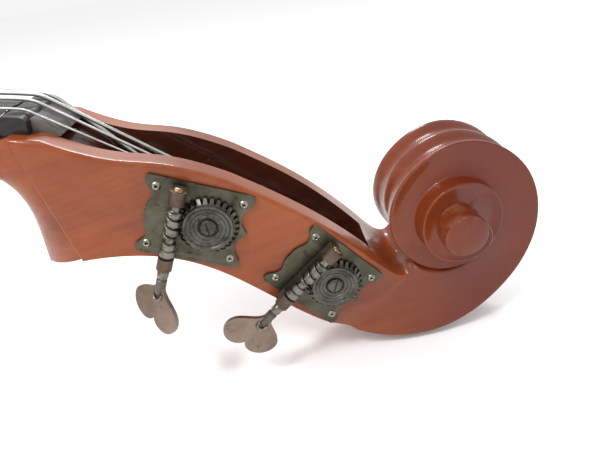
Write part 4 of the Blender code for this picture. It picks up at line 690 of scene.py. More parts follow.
def build_head():
    """Neck, pegbox and scroll, carved from one piece of maple, with the scroll's eyes."""
    pegbox, (sides, flutes), neck = pegbox_rows(), scroll_rows(), neck_rows()
    pegbox[-1] = flutes[-1][::-1] + sides[0][1:] + flutes[0][1:]
    base = len(sides) - 1 - 360 // SPIRAL_STEP
    end_wall = [sides[base + 1][0], *sides[-1]]
    land = [row[0] for row in sides[base + 1:]]
    mesh = grid_mesh("neck_and_scroll", [neck, [neck[-1], pegbox[0]], pegbox, sides, flutes],
                     [neck[0], end_wall, land], mirror=True)
    seat = box_mesh("nut_seat", (-0.0150, -NUT_HALF - GAP, GLUE_Z - 2 * GAP),
                    (NUT_BACK + GAP, NUT_HALF + GAP, 0.02))
    mortise = mortise_mesh()
    mesh = cut_mesh("neck_and_scroll", mesh, [mortise, seat, *roller_bores()], smooth=32)
    paint_pegbox_shade(mesh, mortise)
    add_piece("neck_and_scroll_maple", mesh, NECK_MAPLE,
              replaces=["neck_and_scroll"], matrix=NECK)
    for word, side in (("treble", -1), ("bass", 1)):
        profile = [(0, EYE_HALF + 0.0004), (EYE_RADIUS - 0.0016, EYE_HALF),
                   (EYE_RADIUS - 0.0004, EYE_HALF - 0.0005), (EYE_RADIUS, EYE_HALF - 0.0016),
                   (EYE_RADIUS + 0.0002, 0.040), (EYE_RADIUS, 0.012), (0, 0.012)]
        eye = lathe_mesh("eye", profile, 64)
        at = Matrix.Translation((EYE_CENTRE[0], 0, EYE_CENTRE[1]))
        turn = Matrix.Rotation(-side * math.pi / 2, 4, "X")
        add_piece(f"scroll_eye_{word}", eye, NECK_MAPLE, matrix=NECK @ at @ turn)


def nut_grooves():
    """Cutters for the strings' grooves, which fall away behind the crown."""
    grooves = []
    for name, across, diameter in STRINGS:
        crown = NUT_CROWN[name]
        path = [(-0.012, across, crown + 0.0002), (-0.0055, across, crown),
                (0.0015, across, crown - 0.0002),
                (0.0065, across, crown - 0.0026), (0.020, across * 0.99, crown - 0.0125)]
        grooves.append(tube_mesh("groove", smooth_path(path, 5), diameter / 2 + 0.00035, 12))
    return grooves


def build_nut():
    """Ebony nut: a polished block with rounded edges, and a narrower dull ramp behind it."""
    base = GLUE_Z + GAP
    upright = Matrix.Rotation(math.pi / 2, 4, "X")
    profile = corner_profile([(NUT_FRONT, base, 0.0004), (NUT_FRONT, -0.0034, 0.0034),
                              (NUT_BACK, -0.0038, 0.0034), (NUT_BACK, base, 0.0004)])
    block = slab_mesh("nut", [profile], -NUT_HALF, NUT_HALF)
    block.transform(upright)
    add_piece("nut_block", cut_mesh("nut", block, nut_grooves(), smooth=30), EBONY,
              replaces=["nut"], matrix=NECK, bevel=0.0008)
    profile = corner_profile([(NUT_BACK - 0.0015, -0.0052, 0.0004), (0.0075, -0.0066, 0.002),
                              (0.0150, -0.0106, 0.002), (0.0178, -0.0142, 0.0004),
                              (NUT_BACK - 0.0010, base + 0.0004, 0.0004)])
    ramp_half = CHEEK_HALF - CHEEK_WALL - 0.0004
    ramp_block = slab_mesh("nut_ramp", [profile], -ramp_half, ramp_half)
    ramp_block.transform(upright)
    add_piece("nut_ramp", cut_mesh("nut_ramp", ramp_block, nut_grooves(), smooth=30), DULL_EBONY,
              matrix=NECK, bevel=0.0005)


def corner_profile(corners):
    """A closed outline with each corner (x, y, radius) rounded."""
    outline = []
    for i, (x, y, radius) in enumerate(corners):
        before, after = corners[i - 1], corners[(i + 1) % len(corners)]
        arc = corner_arc((*before[:2], 0), (x, y, 0), (*after[:2], 0), radius)
        outline += [(p[0], p[1]) for p in arc]
    return outline


def build_fingerboard():
    """Long ebony board with a round playing face."""
    start, (narrow, wide) = FINGERBOARD_START, FINGERBOARD_HALF
    length = (NUT.x - FINGERBOARD_END_X) / math.cos(NECK_ANGLE)
    rows, across = [], 16
    for i in range(25):
        share = i / 24
        x = start - (length + start) * share
        half = narrow + (wide - narrow) * share
        edge, crown = -0.0062 - 0.0163 * share, -0.0040 - 0.0065 * share
        top = [(x, half * k / across, edge + (crown - edge) * (1 - (k / across) ** 2))
               for k in range(-across, across + 1)]
        under = glue_z(x) + GAP
        rows.append(top + [(x, half, under), (x, -half, under), top[0]])
    mesh = grid_mesh("fingerboard", [rows], [rows[0][:-1], rows[-1][:-1]])
    add_piece("fingerboard_ebony", mesh, EBONY, replaces=["fingerboard"], matrix=NECK,
              bevel=0.0009)


# --------------------------------------------------------------------------- tuning machines

def machine_point(machine, x, y, out):
    """A place in a machine's own frame (along its plate, up it, off the cheek) in neck terms."""
    _, side, centre, tilt, _ = machine
    cos, sin = math.cos(math.radians(tilt)), math.sin(math.radians(tilt))
    return (centre[0] + x * cos + y * sin, side * (CHEEK_HALF + out),
            centre[1] - x * sin + y * cos)


def machine_matrix(machine):
    """The machine's frame: X along the plate, Y up it, Z off the cheek (bass side mirrored)."""
    _, side, _, tilt, _ = machine
    cos, sin = math.cos(math.radians(tilt)), math.sin(math.radians(tilt))
    along, up, out = (cos, 0, -sin), (sin * -side, 0, cos * -side), (0, side, 0)
    matrix = Matrix((along, up, out)).transposed().to_4x4()
    matrix.translation = machine_point(machine, 0, 0, 0)
    return NECK @ matrix


def handed(mesh, side):
    """Mirror a machine piece for the bass side."""
    if side > 0:
        bm = bmesh.new()
        bm.from_mesh(mesh)
        bmesh.ops.transform(bm, verts=bm.verts, matrix=Matrix.Diagonal((1, -1, 1, 1)))
        bmesh.ops.reverse_faces(bm, faces=bm.faces)
        bm.to_mesh(mesh)
        bm.free()
    return mesh


def plate_outline():
    """Half of the plate above its long axis, then mirrored: wavy ends, straight sides."""
    worm_end = bezier_points([((-0.0260, 0.0), (-0.0275, 0.005), (-0.0235, 0.009),
                               (-0.0238, 0.0115)),
                              ((-0.0238, 0.0115), (-0.0240, 0.016), (-0.0285, 0.0165),
                               (-0.0283, 0.0205))], 10)
    corner = bezier_points([((-0.0283, 0.0205), (-0.0281, 0.0222), (-0.0275, 0.0229),
                             (-0.0258, 0.0230))], 6)[1:]
    corner += bezier_points([((0.0256, 0.0230), (0.0272, 0.0230), (0.0279, 0.0222),
                              (0.0280, 0.0205))], 6)[:-1]
    gear_end = bezier_points([((0.0280, 0.0205), (0.0285, 0.0165), (0.0245, 0.0160),
                               (0.0235, 0.0095)),
                              ((0.0235, 0.0095), (0.0230, 0.0045), (0.0262, 0.0025),
                               (0.0282, 0.0))], 10)
    half = worm_end + corner + gear_end
    return half + [(x, -y) for x, y in half[-2:0:-1]]


def plate_mesh():
    """The machine's plate, with its four screw holes and the hole for the gear's axle."""
    screws = [circle_points((x * SCREW_SPACING[0] / 2, y * SCREW_SPACING[1] / 2), 0.0020, 20)
              for x in (-1, 1) for y in (-1, 1)]
    hole = circle_points(GEAR_CENTRE, 0.0048, 40)
    return slab_mesh("plate", [plate_outline(), hole, *screws], PLATE_LOW, PLATE_LOW + PLATE_THICK)


def plate_screw_mesh():
    """A small domed screw with a dirty hole in its middle."""
    top = PLATE_LOW + PLATE_THICK
    profile = [(0, 0.0016), (0.0005, 0.0016), (0.0007, 0.0024), (0.0011, 0.0028), (0.0016, 0.0027),
               (0.0021, 0.0023), (0.0024, top + 0.0001), (0.0024, top), (0.0017, top),
               (0.0012, -0.0090), (0, -0.0110)]
    return lathe_mesh("plate_screw", profile, 32)


def bracket_mesh():
    """Worm bearing: two round lugs on a thin foot, the upper one with a riveted cap."""
    low = PLATE_LOW + PLATE_THICK + GAP
    foot_right = GEAR_CENTRE[0] - GEAR_TIP_R - GAP
    foot = corner_profile([(WORM_X - 0.0034, -0.0268, 0.002), (foot_right, -0.0268, 0.002),
                           (foot_right, 0.0203, 0.001), (WORM_X - 0.0034, 0.0203, 0.001)])
    pieces = [slab_mesh("foot", [foot], low, low + 0.0009)]
    for bottom, top in ((0.0128, 0.0205), (-0.0270, -0.0195)):
        arc = [(0.0042 * math.cos(a), WORM_HEIGHT + 0.0042 * math.sin(a))
               for a in np.linspace(-math.pi / 4, math.pi * 1.25, 37)]
        flare = [(-0.0034, 0.0042), (-0.0036, low + GAP), (0.0036, low + GAP), (0.0034, 0.0042)]
        lug = slab_mesh("lug", [arc + flare, circle_points((0, WORM_HEIGHT), 0.0024, 28)],
                        bottom, top)
        lug.transform(Matrix.Translation((WORM_X, 0, 0)) @ Matrix.Rotation(math.pi / 2, 4, "X")
                      @ Matrix.Diagonal((1, 1, -1, 1)))
        bm = bmesh.new()
        bm.from_mesh(lug)
        bmesh.ops.recalc_face_normals(bm, faces=bm.faces)
        bm.to_mesh(lug)
        bm.free()
        pieces.append(lug)
    return cut_mesh("bracket", pieces[0], pieces[1:], "UNION")


def cap_mesh():
    """Domed end of the worm shaft, standing in its upper lug."""
    return lathe_mesh("cap", [(0, 0.0219), (0.0016, 0.0218), (0.0023, 0.0214), (0.0026, 0.0209),
                              (0.0026, 0.0204), (0.0021, 0.0201), (0, 0.0201)], 32)


def rod_mesh():
    """Round rod that carries the key, with a ferrule against the lower lug's stub."""
    return lathe_mesh("rod", [(0, -0.0330), (0.0023, -0.0330), (0.0023, -0.0338), (0.0029, -0.0343),
                              (0.0029, -0.0418), (0.0024, -0.0436), (0.0012, -0.0448),
                              (0, -0.0450)], 32)


def worm_mesh(flip):
    """The worm shaft about local Z: bare shaft, three turns of thread, double collar and stub."""
    profile = [(0, 0.0200), (0.0021, 0.0200), (0.0021, 0.0125), (0.0030, 0.0125)]
    profile += [(WORM_CORE, z) for z in np.linspace(0.0122, -0.0096, 110)]
    profile += [(0.0034, -0.0099), (0.0038, -0.0103), (0.0038, -0.0132), (0.0034, -0.0136),
                (0.0031, -0.0139), (0.0031, -0.0142), (0.0034, -0.0144), (0.0038, -0.0147),
                (0.0038, -0.0181), (0.0034, -0.0186), (0.0021, -0.0192), (0.0021, -0.0273),
                (0.0027, -0.0274), (0.0031, -0.0279), (0.0031, -0.0321), (0.0026, -0.0327),
                (0, -0.0327)]
    rows, steps = [], 48
    for i in range(steps + 1):
        turn = 2 * math.pi * i / steps
        row = []
        for radius, z in profile:
            if radius == WORM_CORE:
                phase = (z / WORM_PITCH + flip * i / steps + 0.13) % 1.0
                flank = smooth_step((0.5 - abs(phase - 0.5)) / 0.14 - 0.55)
                ends = smooth_step((0.0098 - z) / 0.0014) * smooth_step((z + 0.0072) / 0.0014)
                radius = WORM_CORE + (WORM_R - WORM_CORE) * (flank if flank > 0 else 0) * ends
            row.append((radius * math.cos(turn), radius * math.sin(turn), z))
        rows.append(row)
    return grid_mesh("worm", [rows], (), 40, 0.000005)


def heart_mesh():
    """The heart-shaped key, cut from sheet."""
    half = bezier_points([((0.0028, 0.0015), (0.0050, -0.0050), (0.0185, -0.0050),
                           (0.0180, -0.0150)),
                          ((0.0180, -0.0150), (0.0172, -0.0260), (0.0032, -0.0280),
                           (0.0, -0.0205))], 24)
    outline = half + [(-x, y) for x, y in half[-2::-1]]
    key = slab_mesh("key", [outline], -0.0011, 0.0011)
    key.transform(Matrix.Translation((0, 0, -0.0400)) @ Matrix.Rotation(math.pi / 2, 4, "X"))
    return key


def solder_mesh():
    """A smooth collar of solder where the rod ends in the key."""
    pieces = []
    for face in (-1, 1):
        path = [(0.0031 * math.cos(a), face * (0.0014 + 0.0006 * math.sin(a) ** 2),
                 -0.0432 - 0.0040 * math.sin(a)) for a in np.linspace(-0.15, math.pi + 0.15, 17)]
        radii = [0.0004 + 0.0008 * math.sin(math.pi * i / 16) for i in range(17)]
        pieces.append(tube_mesh("solder", path, radii, 12))
    return joined_mesh("solder", pieces)


def gear_mesh():
    """Worm wheel: a turned hub with rings cut in its face, and sloping square teeth."""
    hub = lathe_mesh("gear", [
        (0.0026, GEAR_BASE), (GEAR_HUB_R, GEAR_BASE), (GEAR_HUB_R, 0.0060), (0.0134, 0.0066),
        (0.0129, GEAR_RIM_TOP), (0.0120, GEAR_RIM_TOP), (0.0116, 0.0065), (0.0112, 0.0059),
        (0.0107, 0.0057), (0.0098, 0.0056), (0.0096, 0.0053), (0.0092, 0.0053), (0.0090, 0.0056),
        (0.0077, 0.0054), (0.0075, 0.0051), (0.0071, 0.0051), (0.0069, 0.0053), (0.0059, 0.0052),
        (0.0054, 0.0049), (0.0051, 0.0045), (0.0026, 0.0045), (0.0026, GEAR_BASE)], 96)
    outline = []
    for k in range(GEAR_TEETH):
        for share, radius in ((-0.07, GEAR_ROOT_R), (0.02, GEAR_SHOULDER_R), (0.07, GEAR_TIP_R),
                              (0.30, GEAR_TIP_R), (0.53, GEAR_TIP_R), (0.58, GEAR_SHOULDER_R),
                              (0.67, GEAR_ROOT_R), (0.80, GEAR_ROOT_R)):
            angle = 2 * math.pi * (k + share) / GEAR_TEETH
            outline.append((radius * math.cos(angle), radius * math.sin(angle)))
    teeth = slab_mesh("teeth", [outline, circle_points((0, 0), 0.0120, 96)], GEAR_BASE + 0.0001,
                      GEAR_ROOT_TOP)
    for vertex in teeth.vertices:
        if vertex.co.z > 0.004:
            distance = math.hypot(vertex.co.x, vertex.co.y)
            out = clamp01((distance - GEAR_ROOT_R) / (GEAR_TIP_R - GEAR_ROOT_R))
            vertex.co.z += (GEAR_TOOTH_TOP - GEAR_ROOT_TOP) * out ** 0.8
    return joined_mesh("gear", [hub, teeth])


def gear_screw_mesh(flip):
    """The gear's fixing screw, slotted, turned the other way on the bass side."""
    profile = [(0, 0.0067), (0.0024, 0.0066), (0.0038, 0.0062), (0.0046, 0.0055), (0.0048, 0.0049),
               (0.0048, 0.0046), (0.0022, 0.0046), (0.0022, 0.0024), (0, 0.0024)]
    head = lathe_mesh("gear_screw", profile, 48)
    slot = box_mesh("slot", (-0.006, -0.0005, 0.0054), (0.006, 0.0005, 0.008))
    slot.transform(Matrix.Rotation(math.radians(-60) * flip, 4, "Z"))
    return cut_mesh("gear_screw", head, [slot])


def roller_mesh(name):
    """The wooden roller with its neck and tail; the D roller's barrel is a little longer."""
    near = -CHEEK_WALL - 0.001
    far = -2 * CHEEK_HALF + CHEEK_WALL + 0.001
    if name == "d":
        near, far = near - 0.002, far + 0.002
    profile = [(0, GEAR_BASE - GAP), (0.0042, GEAR_BASE - GAP), (0.0042, -0.0008),
               (ROLLER_NECK_R, -0.0008), (ROLLER_NECK_R, near), (ROLLER_R - 0.0006, near),
               (ROLLER_R, near - 0.0007), (ROLLER_R - 0.0003, near - 0.0024),
               (ROLLER_R - 0.0003, far + 0.0024), (ROLLER_R, far + 0.0007),
               (ROLLER_R - 0.0006, far), (ROLLER_TAIL_R, far), (ROLLER_TAIL_R, far - 0.0066),
               (ROLLER_TAIL_R - 0.0004, far - 0.007), (0, far - 0.007)]
    return lathe_mesh("roller", profile, 48)


def winding_radius(name, diameter):
    """Distance of a string's centre line from its roller's axis."""
    return ROLLER_R + WOUND_UNDER.get(name, 0.0) + diameter / 2 + 2 * GAP


def winding_mesh(machine, across, diameter, turns):
    """Turns of string on the roller, from where the straight run meets it, in the neck frame."""
    name, side, _, _, _ = machine
    centre = machine_point(machine, *GEAR_CENTRE, 0)
    radius = winding_radius(name, diameter)
    start = string_tangent(machine, diameter)
    first = math.atan2(start[1] - centre[2], start[0] - centre[0])
    wind_y, toward = across * ROLLER_SPREAD, -side
    path, steps = [], 40
    for i in range(int(turns * steps) + 1):
        turn = first - 2 * math.pi * i / steps
        y = wind_y + toward * diameter * 1.04 * i / steps
        path.append((centre[0] + radius * math.cos(turn), y, centre[2] + radius * math.sin(turn)))
    mesh = tube_mesh("winding", path, diameter / 2, 10)
    if name not in WOUND_UNDER:
        return mesh
    under_r = ROLLER_R + diameter / 2
    under = [(centre[0] + under_r * math.cos(-2 * math.pi * i / steps),
              wind_y + diameter * 1.05 * (i / steps - 3.2),
              centre[2] + under_r * math.sin(-2 * math.pi * i / steps))
             for i in range(7 * steps)]
    return joined_mesh("winding", [mesh, tube_mesh("winding", under, diameter / 2, 10)])


def tangent_point(start, centre, radius):
    """Where a line from a point touches the top of a circle."""
    dx, dz = centre[0] - start[0], centre[1] - start[1]
    distance = math.hypot(dx, dz)
    heading, opening = math.atan2(dz, dx), math.asin(radius / distance)
    run = math.sqrt(distance ** 2 - radius ** 2)
    turn = heading + opening
    return start[0] + run * math.cos(turn), start[1] + run * math.sin(turn)


def string_tangent(machine, diameter):
    """Where a string leaves its straight run behind the nut and meets its roller."""
    name = machine[0]
    gear = machine_point(machine, *GEAR_CENTRE, 0)
    start = (0.0065, NUT_CROWN[name] - 0.0024)
    return tangent_point(start, (gear[0], gear[2]), winding_radius(name, diameter))


def build_machine(machine):
    """All pieces of one tuning machine: those fixed to the cheek, the worm's and the gear's."""
    name, side, _, _, key_turn = machine
    flip = -1 if side > 0 else 1
    frame_at = machine_matrix(machine)
    gear_at = frame_at @ Matrix.Translation((GEAR_CENTRE[0], GEAR_CENTRE[1] * flip, 0))
    axis_at = (frame_at @ Matrix.Translation((WORM_X, 0, WORM_HEIGHT))
               @ Matrix.Rotation(-flip * math.pi / 2, 4, "X"))
    key_at = axis_at @ Matrix.Rotation(math.radians(key_turn) * flip, 4, "Z")
    worm, gear = f"tuner_{name}_worm", f"tuner_{name}_gear"

    add_piece(f"plate_{name}", handed(plate_mesh(), side), PLATE_BRASS,
              replaces=[f"machine_plate_{name}"], matrix=frame_at, bevel=0.00045)
    for i, (x, y) in enumerate(((-1, -1), (-1, 1), (1, -1), (1, 1))):
        at = frame_at @ Matrix.Translation((x * SCREW_SPACING[0] / 2, y * SCREW_SPACING[1] / 2, 0))
        add_piece(f"plate_screw_{name}_{i + 1}", plate_screw_mesh(), SCREW_STEEL,
                  matrix=at)
    add_piece(f"bracket_{name}", handed(bracket_mesh(), side), BEARING,
              replaces=[f"worm_bracket_{name}"], matrix=frame_at, bevel=0.0004)

    add_piece(f"worm_{name}", worm_mesh(flip), WORM_STEEL, worm,
              [f"worm_shaft_{name}"], axis_at)
    add_piece(f"worm_cap_{name}", cap_mesh(), CAP_BRASS, worm, (), axis_at)
    add_piece(f"key_rod_{name}", rod_mesh(), ROD_STEEL, worm, (), axis_at)
    add_piece(f"key_heart_{name}", heart_mesh(), KEY_BRONZE, worm,
              [f"key_{name}"], key_at, bevel=0.0007)
    add_piece(f"key_solder_{name}", solder_mesh(), WORM_STEEL, worm, (), key_at)

    add_piece(f"gear_wheel_{name}", gear_mesh(), GUNMETAL, gear,
              [f"gear_{name}"], gear_at, bevel=0.00022)
    add_piece(f"gear_fixing_{name}", gear_screw_mesh(flip), GUNMETAL, gear,
              [f"gear_screw_{name}"], gear_at, bevel=0.00025)
    add_piece(f"roller_wood_{name}", roller_mesh(name), ROLLER_WOOD, gear,
              [f"roller_{name}"], gear_at)
    across, diameter = [(a, d) for n, a, d in STRINGS if n == name][0]
    add_piece(f"string_turns_{name}", winding_mesh(machine, across, diameter, 4.3), STRING,
              gear, (), NECK)


# --------------------------------------------------------------------------- body

def top_ring(t, count):
    """One ring of the top's outer surface between its edge and its middle line."""
    ring = []
    for x, y in half_outline(count):
        spine_x = min(max(x, SPINE_START), SPINE_END)
        height = EDGE_TOP_Z + PLATE_EDGE + TOP_ARCH * arch_share(t)
        ring.append((x + (spine_x - x) * t, y * (1 - t), height))
    return ring


def edge_rings(count, low, high):
    """Rings round a plate's rounded edge, from its lower to its upper face."""
    rings = []
    for inset, share in ((0.0030, 0.0), (0.0014, 0.04), (0.0004, 0.18), (0.0, 0.5), (0.0004, 0.82),
                         (0.0014, 0.96), (0.0030, 1.0)):
        rings.append([(x, y, low(x) + (high(x) - low(x)) * share)
                      for x, y in half_outline(count, inset)])
    return rings


def f_hole_outline():
    """An f-hole drawn for the treble side: a curved stem that swells in the middle."""
    stem = bezier_points([((0.055, -0.012), (0.070, 0.010), (0.045, 0.016), (0.0, 0.000)),
                          ((0.0, 0.000), (-0.045, -0.016), (-0.070, -0.010), (-0.055, 0.012))], 24)
    path = np.array(stem)
    direction = np.gradient(path, axis=0)
    direction /= np.linalg.norm(direction, axis=1)[:, None]
    normal = np.stack([-direction[:, 1], direction[:, 0]], axis=1)
    half = 0.0028 + 0.0038 * np.sin(np.linspace(0, math.pi, len(path)))
    left, right = path + normal * half[:, None], path - normal * half[:, None]
    return [tuple(p) for p in left] + [tuple(p) for p in right[::-1]]


def f_hole_cutters(side):
    """Upright cutters for one f-hole: its stem and its round upper and lower eyes."""
    x0, y0 = F_HOLE_X, side * F_HOLE_Y
    low, high = F_HOLE_CUT
    outline = [(x0 + x * F_HOLE_STRETCH, y0 - y * side) for x, y in f_hole_outline()]
    cutters = [slab_mesh("f_hole", [outline], low, high)]
    for end, radius in F_HOLE_EYES:
        x, y = x0 + end * 0.0575 * F_HOLE_STRETCH, y0 + end * 0.0105 * side
        cutters.append(bar_mesh("f_hole_eye", (x, y, low), (x, y, high), radius))
    return cutters


def purfling_mesh(offset, z_at):
    """A thin inlaid line that follows the plate's edge, on both sides."""
    grids = []
    inner = half_outline(60, offset + PURFLING_HALF)[:-1]
    outer = half_outline(60, offset - PURFLING_HALF)[:-1]
    for side in (-1, 1):
        grids.append([[(x, y * side, z_at(x)) for x, y in inner],
                      [(x, y * side, z_at(x)) for x, y in outer]])
    return grid_mesh("purfling", grids, weld=0.000001)


def add_purfling(name, z_at):
    """Both lines of one plate's purfling as one piece."""
    lines = joined_mesh(name, [purfling_mesh(offset, z_at) for offset in PURFLING_LINES])
    add_piece(name, lines, PURFLING)


def build_top():
    """Carved spruce top: arched, with a rounded edge, two f-holes and purfling."""
    count = 60
    outer = [top_ring(t, count) for t in [0.014] + list(np.linspace(0.03, 1.0, 44))]
    edge = edge_rings(count, lambda x: EDGE_TOP_Z, lambda x: EDGE_TOP_Z + PLATE_EDGE)
    edge.append(outer[0])
    under = [[(p[0], p[1], p[2] - PLATE_EDGE) for p in ring] for ring in outer]
    grids = [edge, outer, [edge[0], under[0]], under]
    mesh = grid_mesh("top", grids, mirror=True)
    notch = box_mesh("notch", (HEAD_X - OVERHANG, -HEEL_HALF - 2 * GAP, 0.15),
                     (HEAD_X + 0.05, HEEL_HALF + 2 * GAP, 0.30))
    cutters = [notch] + f_hole_cutters(-1) + f_hole_cutters(1)
    mesh = cut_mesh("top", mesh, cutters)
    add_piece("top_spruce", mesh, SPRUCE_TOP, replaces=["top_plate"])
    add_purfling("purfling_top", lambda x: EDGE_TOP_Z + PLATE_EDGE + 0.0004)


def build_back():
    """Flat maple back, bent up over its upper end, with the button under the heel."""
    count = 60
    low, high = back_height, lambda x: back_height(x) + PLATE_EDGE
    edge = edge_rings(count, low, high)
    grids = [edge]
    for ring, height in ((edge[0], low), (edge[-1], high)):
        grids.append([[(x, y * (1 - t), height(x)) for x, y, _ in ring]
                      for t in np.linspace(0, 1, 30)])
    mesh = grid_mesh("back", grids, mirror=True)
    button = [(max(x, HEAD_X - 0.004), y) for x, y in circle_points((HEAD_X - 0.006, 0), 0.030, 60)]
    disc = slab_mesh("button", [button], BACK_RISE + GAP, BACK_RISE + PLATE_EDGE - GAP)
    mesh = joined_mesh("back", [mesh, disc])
    add_piece("back_maple", mesh, BODY_MAPLE, replaces=["back_plate"])
    add_purfling("purfling_back", lambda x: back_height(x) - 0.0001)


def rib_line(bout, offset):
    curves = {"lower": LOWER_BOUT, "centre": CENTRE_BOUT, "upper": UPPER_BOUT}[bout]
    path = bout_points(curves, 70, offset)
    if bout == "lower":
        path[0] = (TAIL_X + offset, GAP)
    if bout == "upper":
        head = HEAD_X - offset
        path = [p for p in path if p[0] < head - 0.002] + [(head, 0.040), (head, GAP)]
    return path


def stretched(path, at_start, at_end):
    """The path with its ends carried straight on, so that the ribs close at the corners."""
    ends = []
    for (x0, y0), (x1, y1), more in ((path[0], path[1], at_start), (path[-1], path[-2], at_end)):
        length = math.hypot(x1 - x0, y1 - y0)
        ends.append((x0 - (x1 - x0) * more / length, y0 - (y1 - y0) * more / length))
    return [ends[0]] + path[1:-1] + [ends[1]]


def rib_mesh(name, outer, inner, side):
    """An upright strip between two lines, as tall as the plates leave room for."""
    rows = []
    for (x, y), (u, v) in zip(outer, inner):
        low, high = back_height(x) + PLATE_EDGE + GAP, EDGE_TOP_Z - GAP
        heights = [low + (high - low) * share for share in RIB_LEVELS]
        row = [(x, y * side, z) for z in heights]
        row += [(u, v * side, high), (u, v * side, back_height(u) + PLATE_EDGE + GAP)]
        rows.append(row + row[:1])
    return grid_mesh(name, [rows], [rows[0][:-1], rows[-1][:-1]])


def inset_line(path, thickness):
    points = np.array(path, float)
    direction = np.gradient(points, axis=0)
    direction /= np.linalg.norm(direction, axis=1)[:, None]
    inner = points + np.stack([direction[:, 1], -direction[:, 0]], axis=1) * thickness
    inner[:, 1] = np.maximum(inner[:, 1], GAP)
    return [tuple(p) for p in inner]


def build_ribs():
    """Six bent maple ribs round the sides, bored at the tail for the endpin socket."""
    reach = {"lower": (0.0, 0.003), "centre": (0.0012, 0.0023), "upper": (0.003, 0.0)}
    bore = bar_mesh("bore", (TAIL_X - 0.05, 0, END_Z), (TAIL_X + 0.1, 0, END_Z),
                    SOCKET_BODY_R + GAP)
    for bout, (start, end) in reach.items():
        path = stretched(rib_line(bout, OVERHANG), start, end)
        for side, word in ((-1, "treble"), (1, "bass")):
            mesh = rib_mesh("rib", path, inset_line(path, RIB), side)
            if bout == "lower":
                mesh = cut_mesh("rib", mesh, [bore])
            add_piece(f"rib_{bout}_{word}_maple", mesh, BODY_MAPLE,
                      replaces=[f"rib_{bout}_{word}"])


def bridge_crown(y):
    return BRIDGE_TOP_Z - 0.0022 - (BRIDGE_CROWN_R - math.sqrt(BRIDGE_CROWN_R ** 2 - y * y))


def build_bridge():
    """Maple bridge: two feet on the arch, waist, heart, side wings and a round crown."""
    crown = [(y, bridge_crown(y)) for y in np.linspace(-0.052, 0.052, 41)]
    foot_out = top_surface(BRIDGE_X, 0.078) + 0.0012
    foot_in = top_surface(BRIDGE_X, 0.042) + 0.0012
    side = bezier_points([((0.052, crown[-1][1]), (0.047, 0.350), (0.030, 0.335), (0.050, 0.318)),
                          ((0.050, 0.318), (0.066, 0.305), (0.058, 0.285), (0.062, 0.262)),
                          ((0.062, 0.262), (0.066, 0.252), (0.078, 0.252), (0.078, foot_out))],
                          16)[1:]
    inner = bezier_points([((0.042, foot_in), (0.040, 0.262), (0.012, 0.262), (0.0, 0.266))], 16)
    half = side + inner[:-1]
    outline = crown + half + [inner[-1]] + [(-x, y) for x, y in half[::-1]]
    heart = bezier_points([((0.0, 0.322), (0.014, 0.338), (0.012, 0.350), (0.0, 0.343))], 16)
    heart += [(-y, z) for y, z in heart[-2:0:-1]]
    mesh = slab_mesh("bridge", [outline, heart], -0.010, 0.010)
    for vertex in mesh.vertices:
        vertex.co.z *= 1 - 0.65 * (vertex.co.y - foot_out) / (BRIDGE_TOP_Z - foot_out)
    turn = Matrix(((0, 0, 1, BRIDGE_X), (1, 0, 0, 0), (0, 1, 0, 0), (0, 0, 0, 1)))
    add_piece("bridge_carved", mesh, BRIDGE_MAPLE, replaces=["bridge"], matrix=turn,
              bevel=0.0006)


def tailpiece_slope():
    return math.atan2(TAILPIECE_FRONT[1] - TAILPIECE_BACK[1],
                      TAILPIECE_FRONT[0] - TAILPIECE_BACK[0])


def build_tailpiece():
    """Tapered ebony tailpiece with a rounded face, four string holes and two for the wire."""
    length = math.hypot(TAILPIECE_FRONT[0] - TAILPIECE_BACK[0],
                        TAILPIECE_FRONT[1] - TAILPIECE_BACK[1])
    taper = bezier_points([((-0.02, 0.0385), (-0.09, 0.0360), (-0.20, 0.0290),
                            (-length + 0.002, 0.0215))], 24)
    half = [(0.0, 0.036 * i / 12) for i in range(13)] + [(-0.004, 0.0378)] + taper
    half += [(-length, 0.0205 * (1 - i / 8)) for i in range(1, 9)]
    outline = half + [(x, -y) for x, y in half[-2:0:-1]]
    holes = [circle_points((-0.024, across * TAILPIECE_SPREAD), 0.0030, 24)
             for _, across, _ in STRINGS]
    holes += [circle_points((-length + 0.012, y), 0.0032, 24) for y in (-0.011, 0.011)]
    mesh = slab_mesh("tailpiece", [outline, *holes], -0.0045, 0.0045)
    for vertex in mesh.vertices:
        vertex.co.z += -0.0045 - 0.0040 * (vertex.co.y / 0.0385) ** 2 * (vertex.co.z > 0)
    matrix = (Matrix.Translation((TAILPIECE_FRONT[0], 0, TAILPIECE_FRONT[1]))
              @ Matrix.Rotation(-tailpiece_slope(), 4, "Y"))
    add_piece("tailpiece_ebony", mesh, EBONY, replaces=["tailpiece"], matrix=matrix,
              bevel=0.0008)


def rounded_route(route, radius):
    """A line with each of its corners rounded."""
    points = [tuple(route[0])]
    for before, corner, after in zip(route, route[1:], route[2:]):
        points += corner_arc(before, corner, after, radius)
    return points + [tuple(route[-1])]


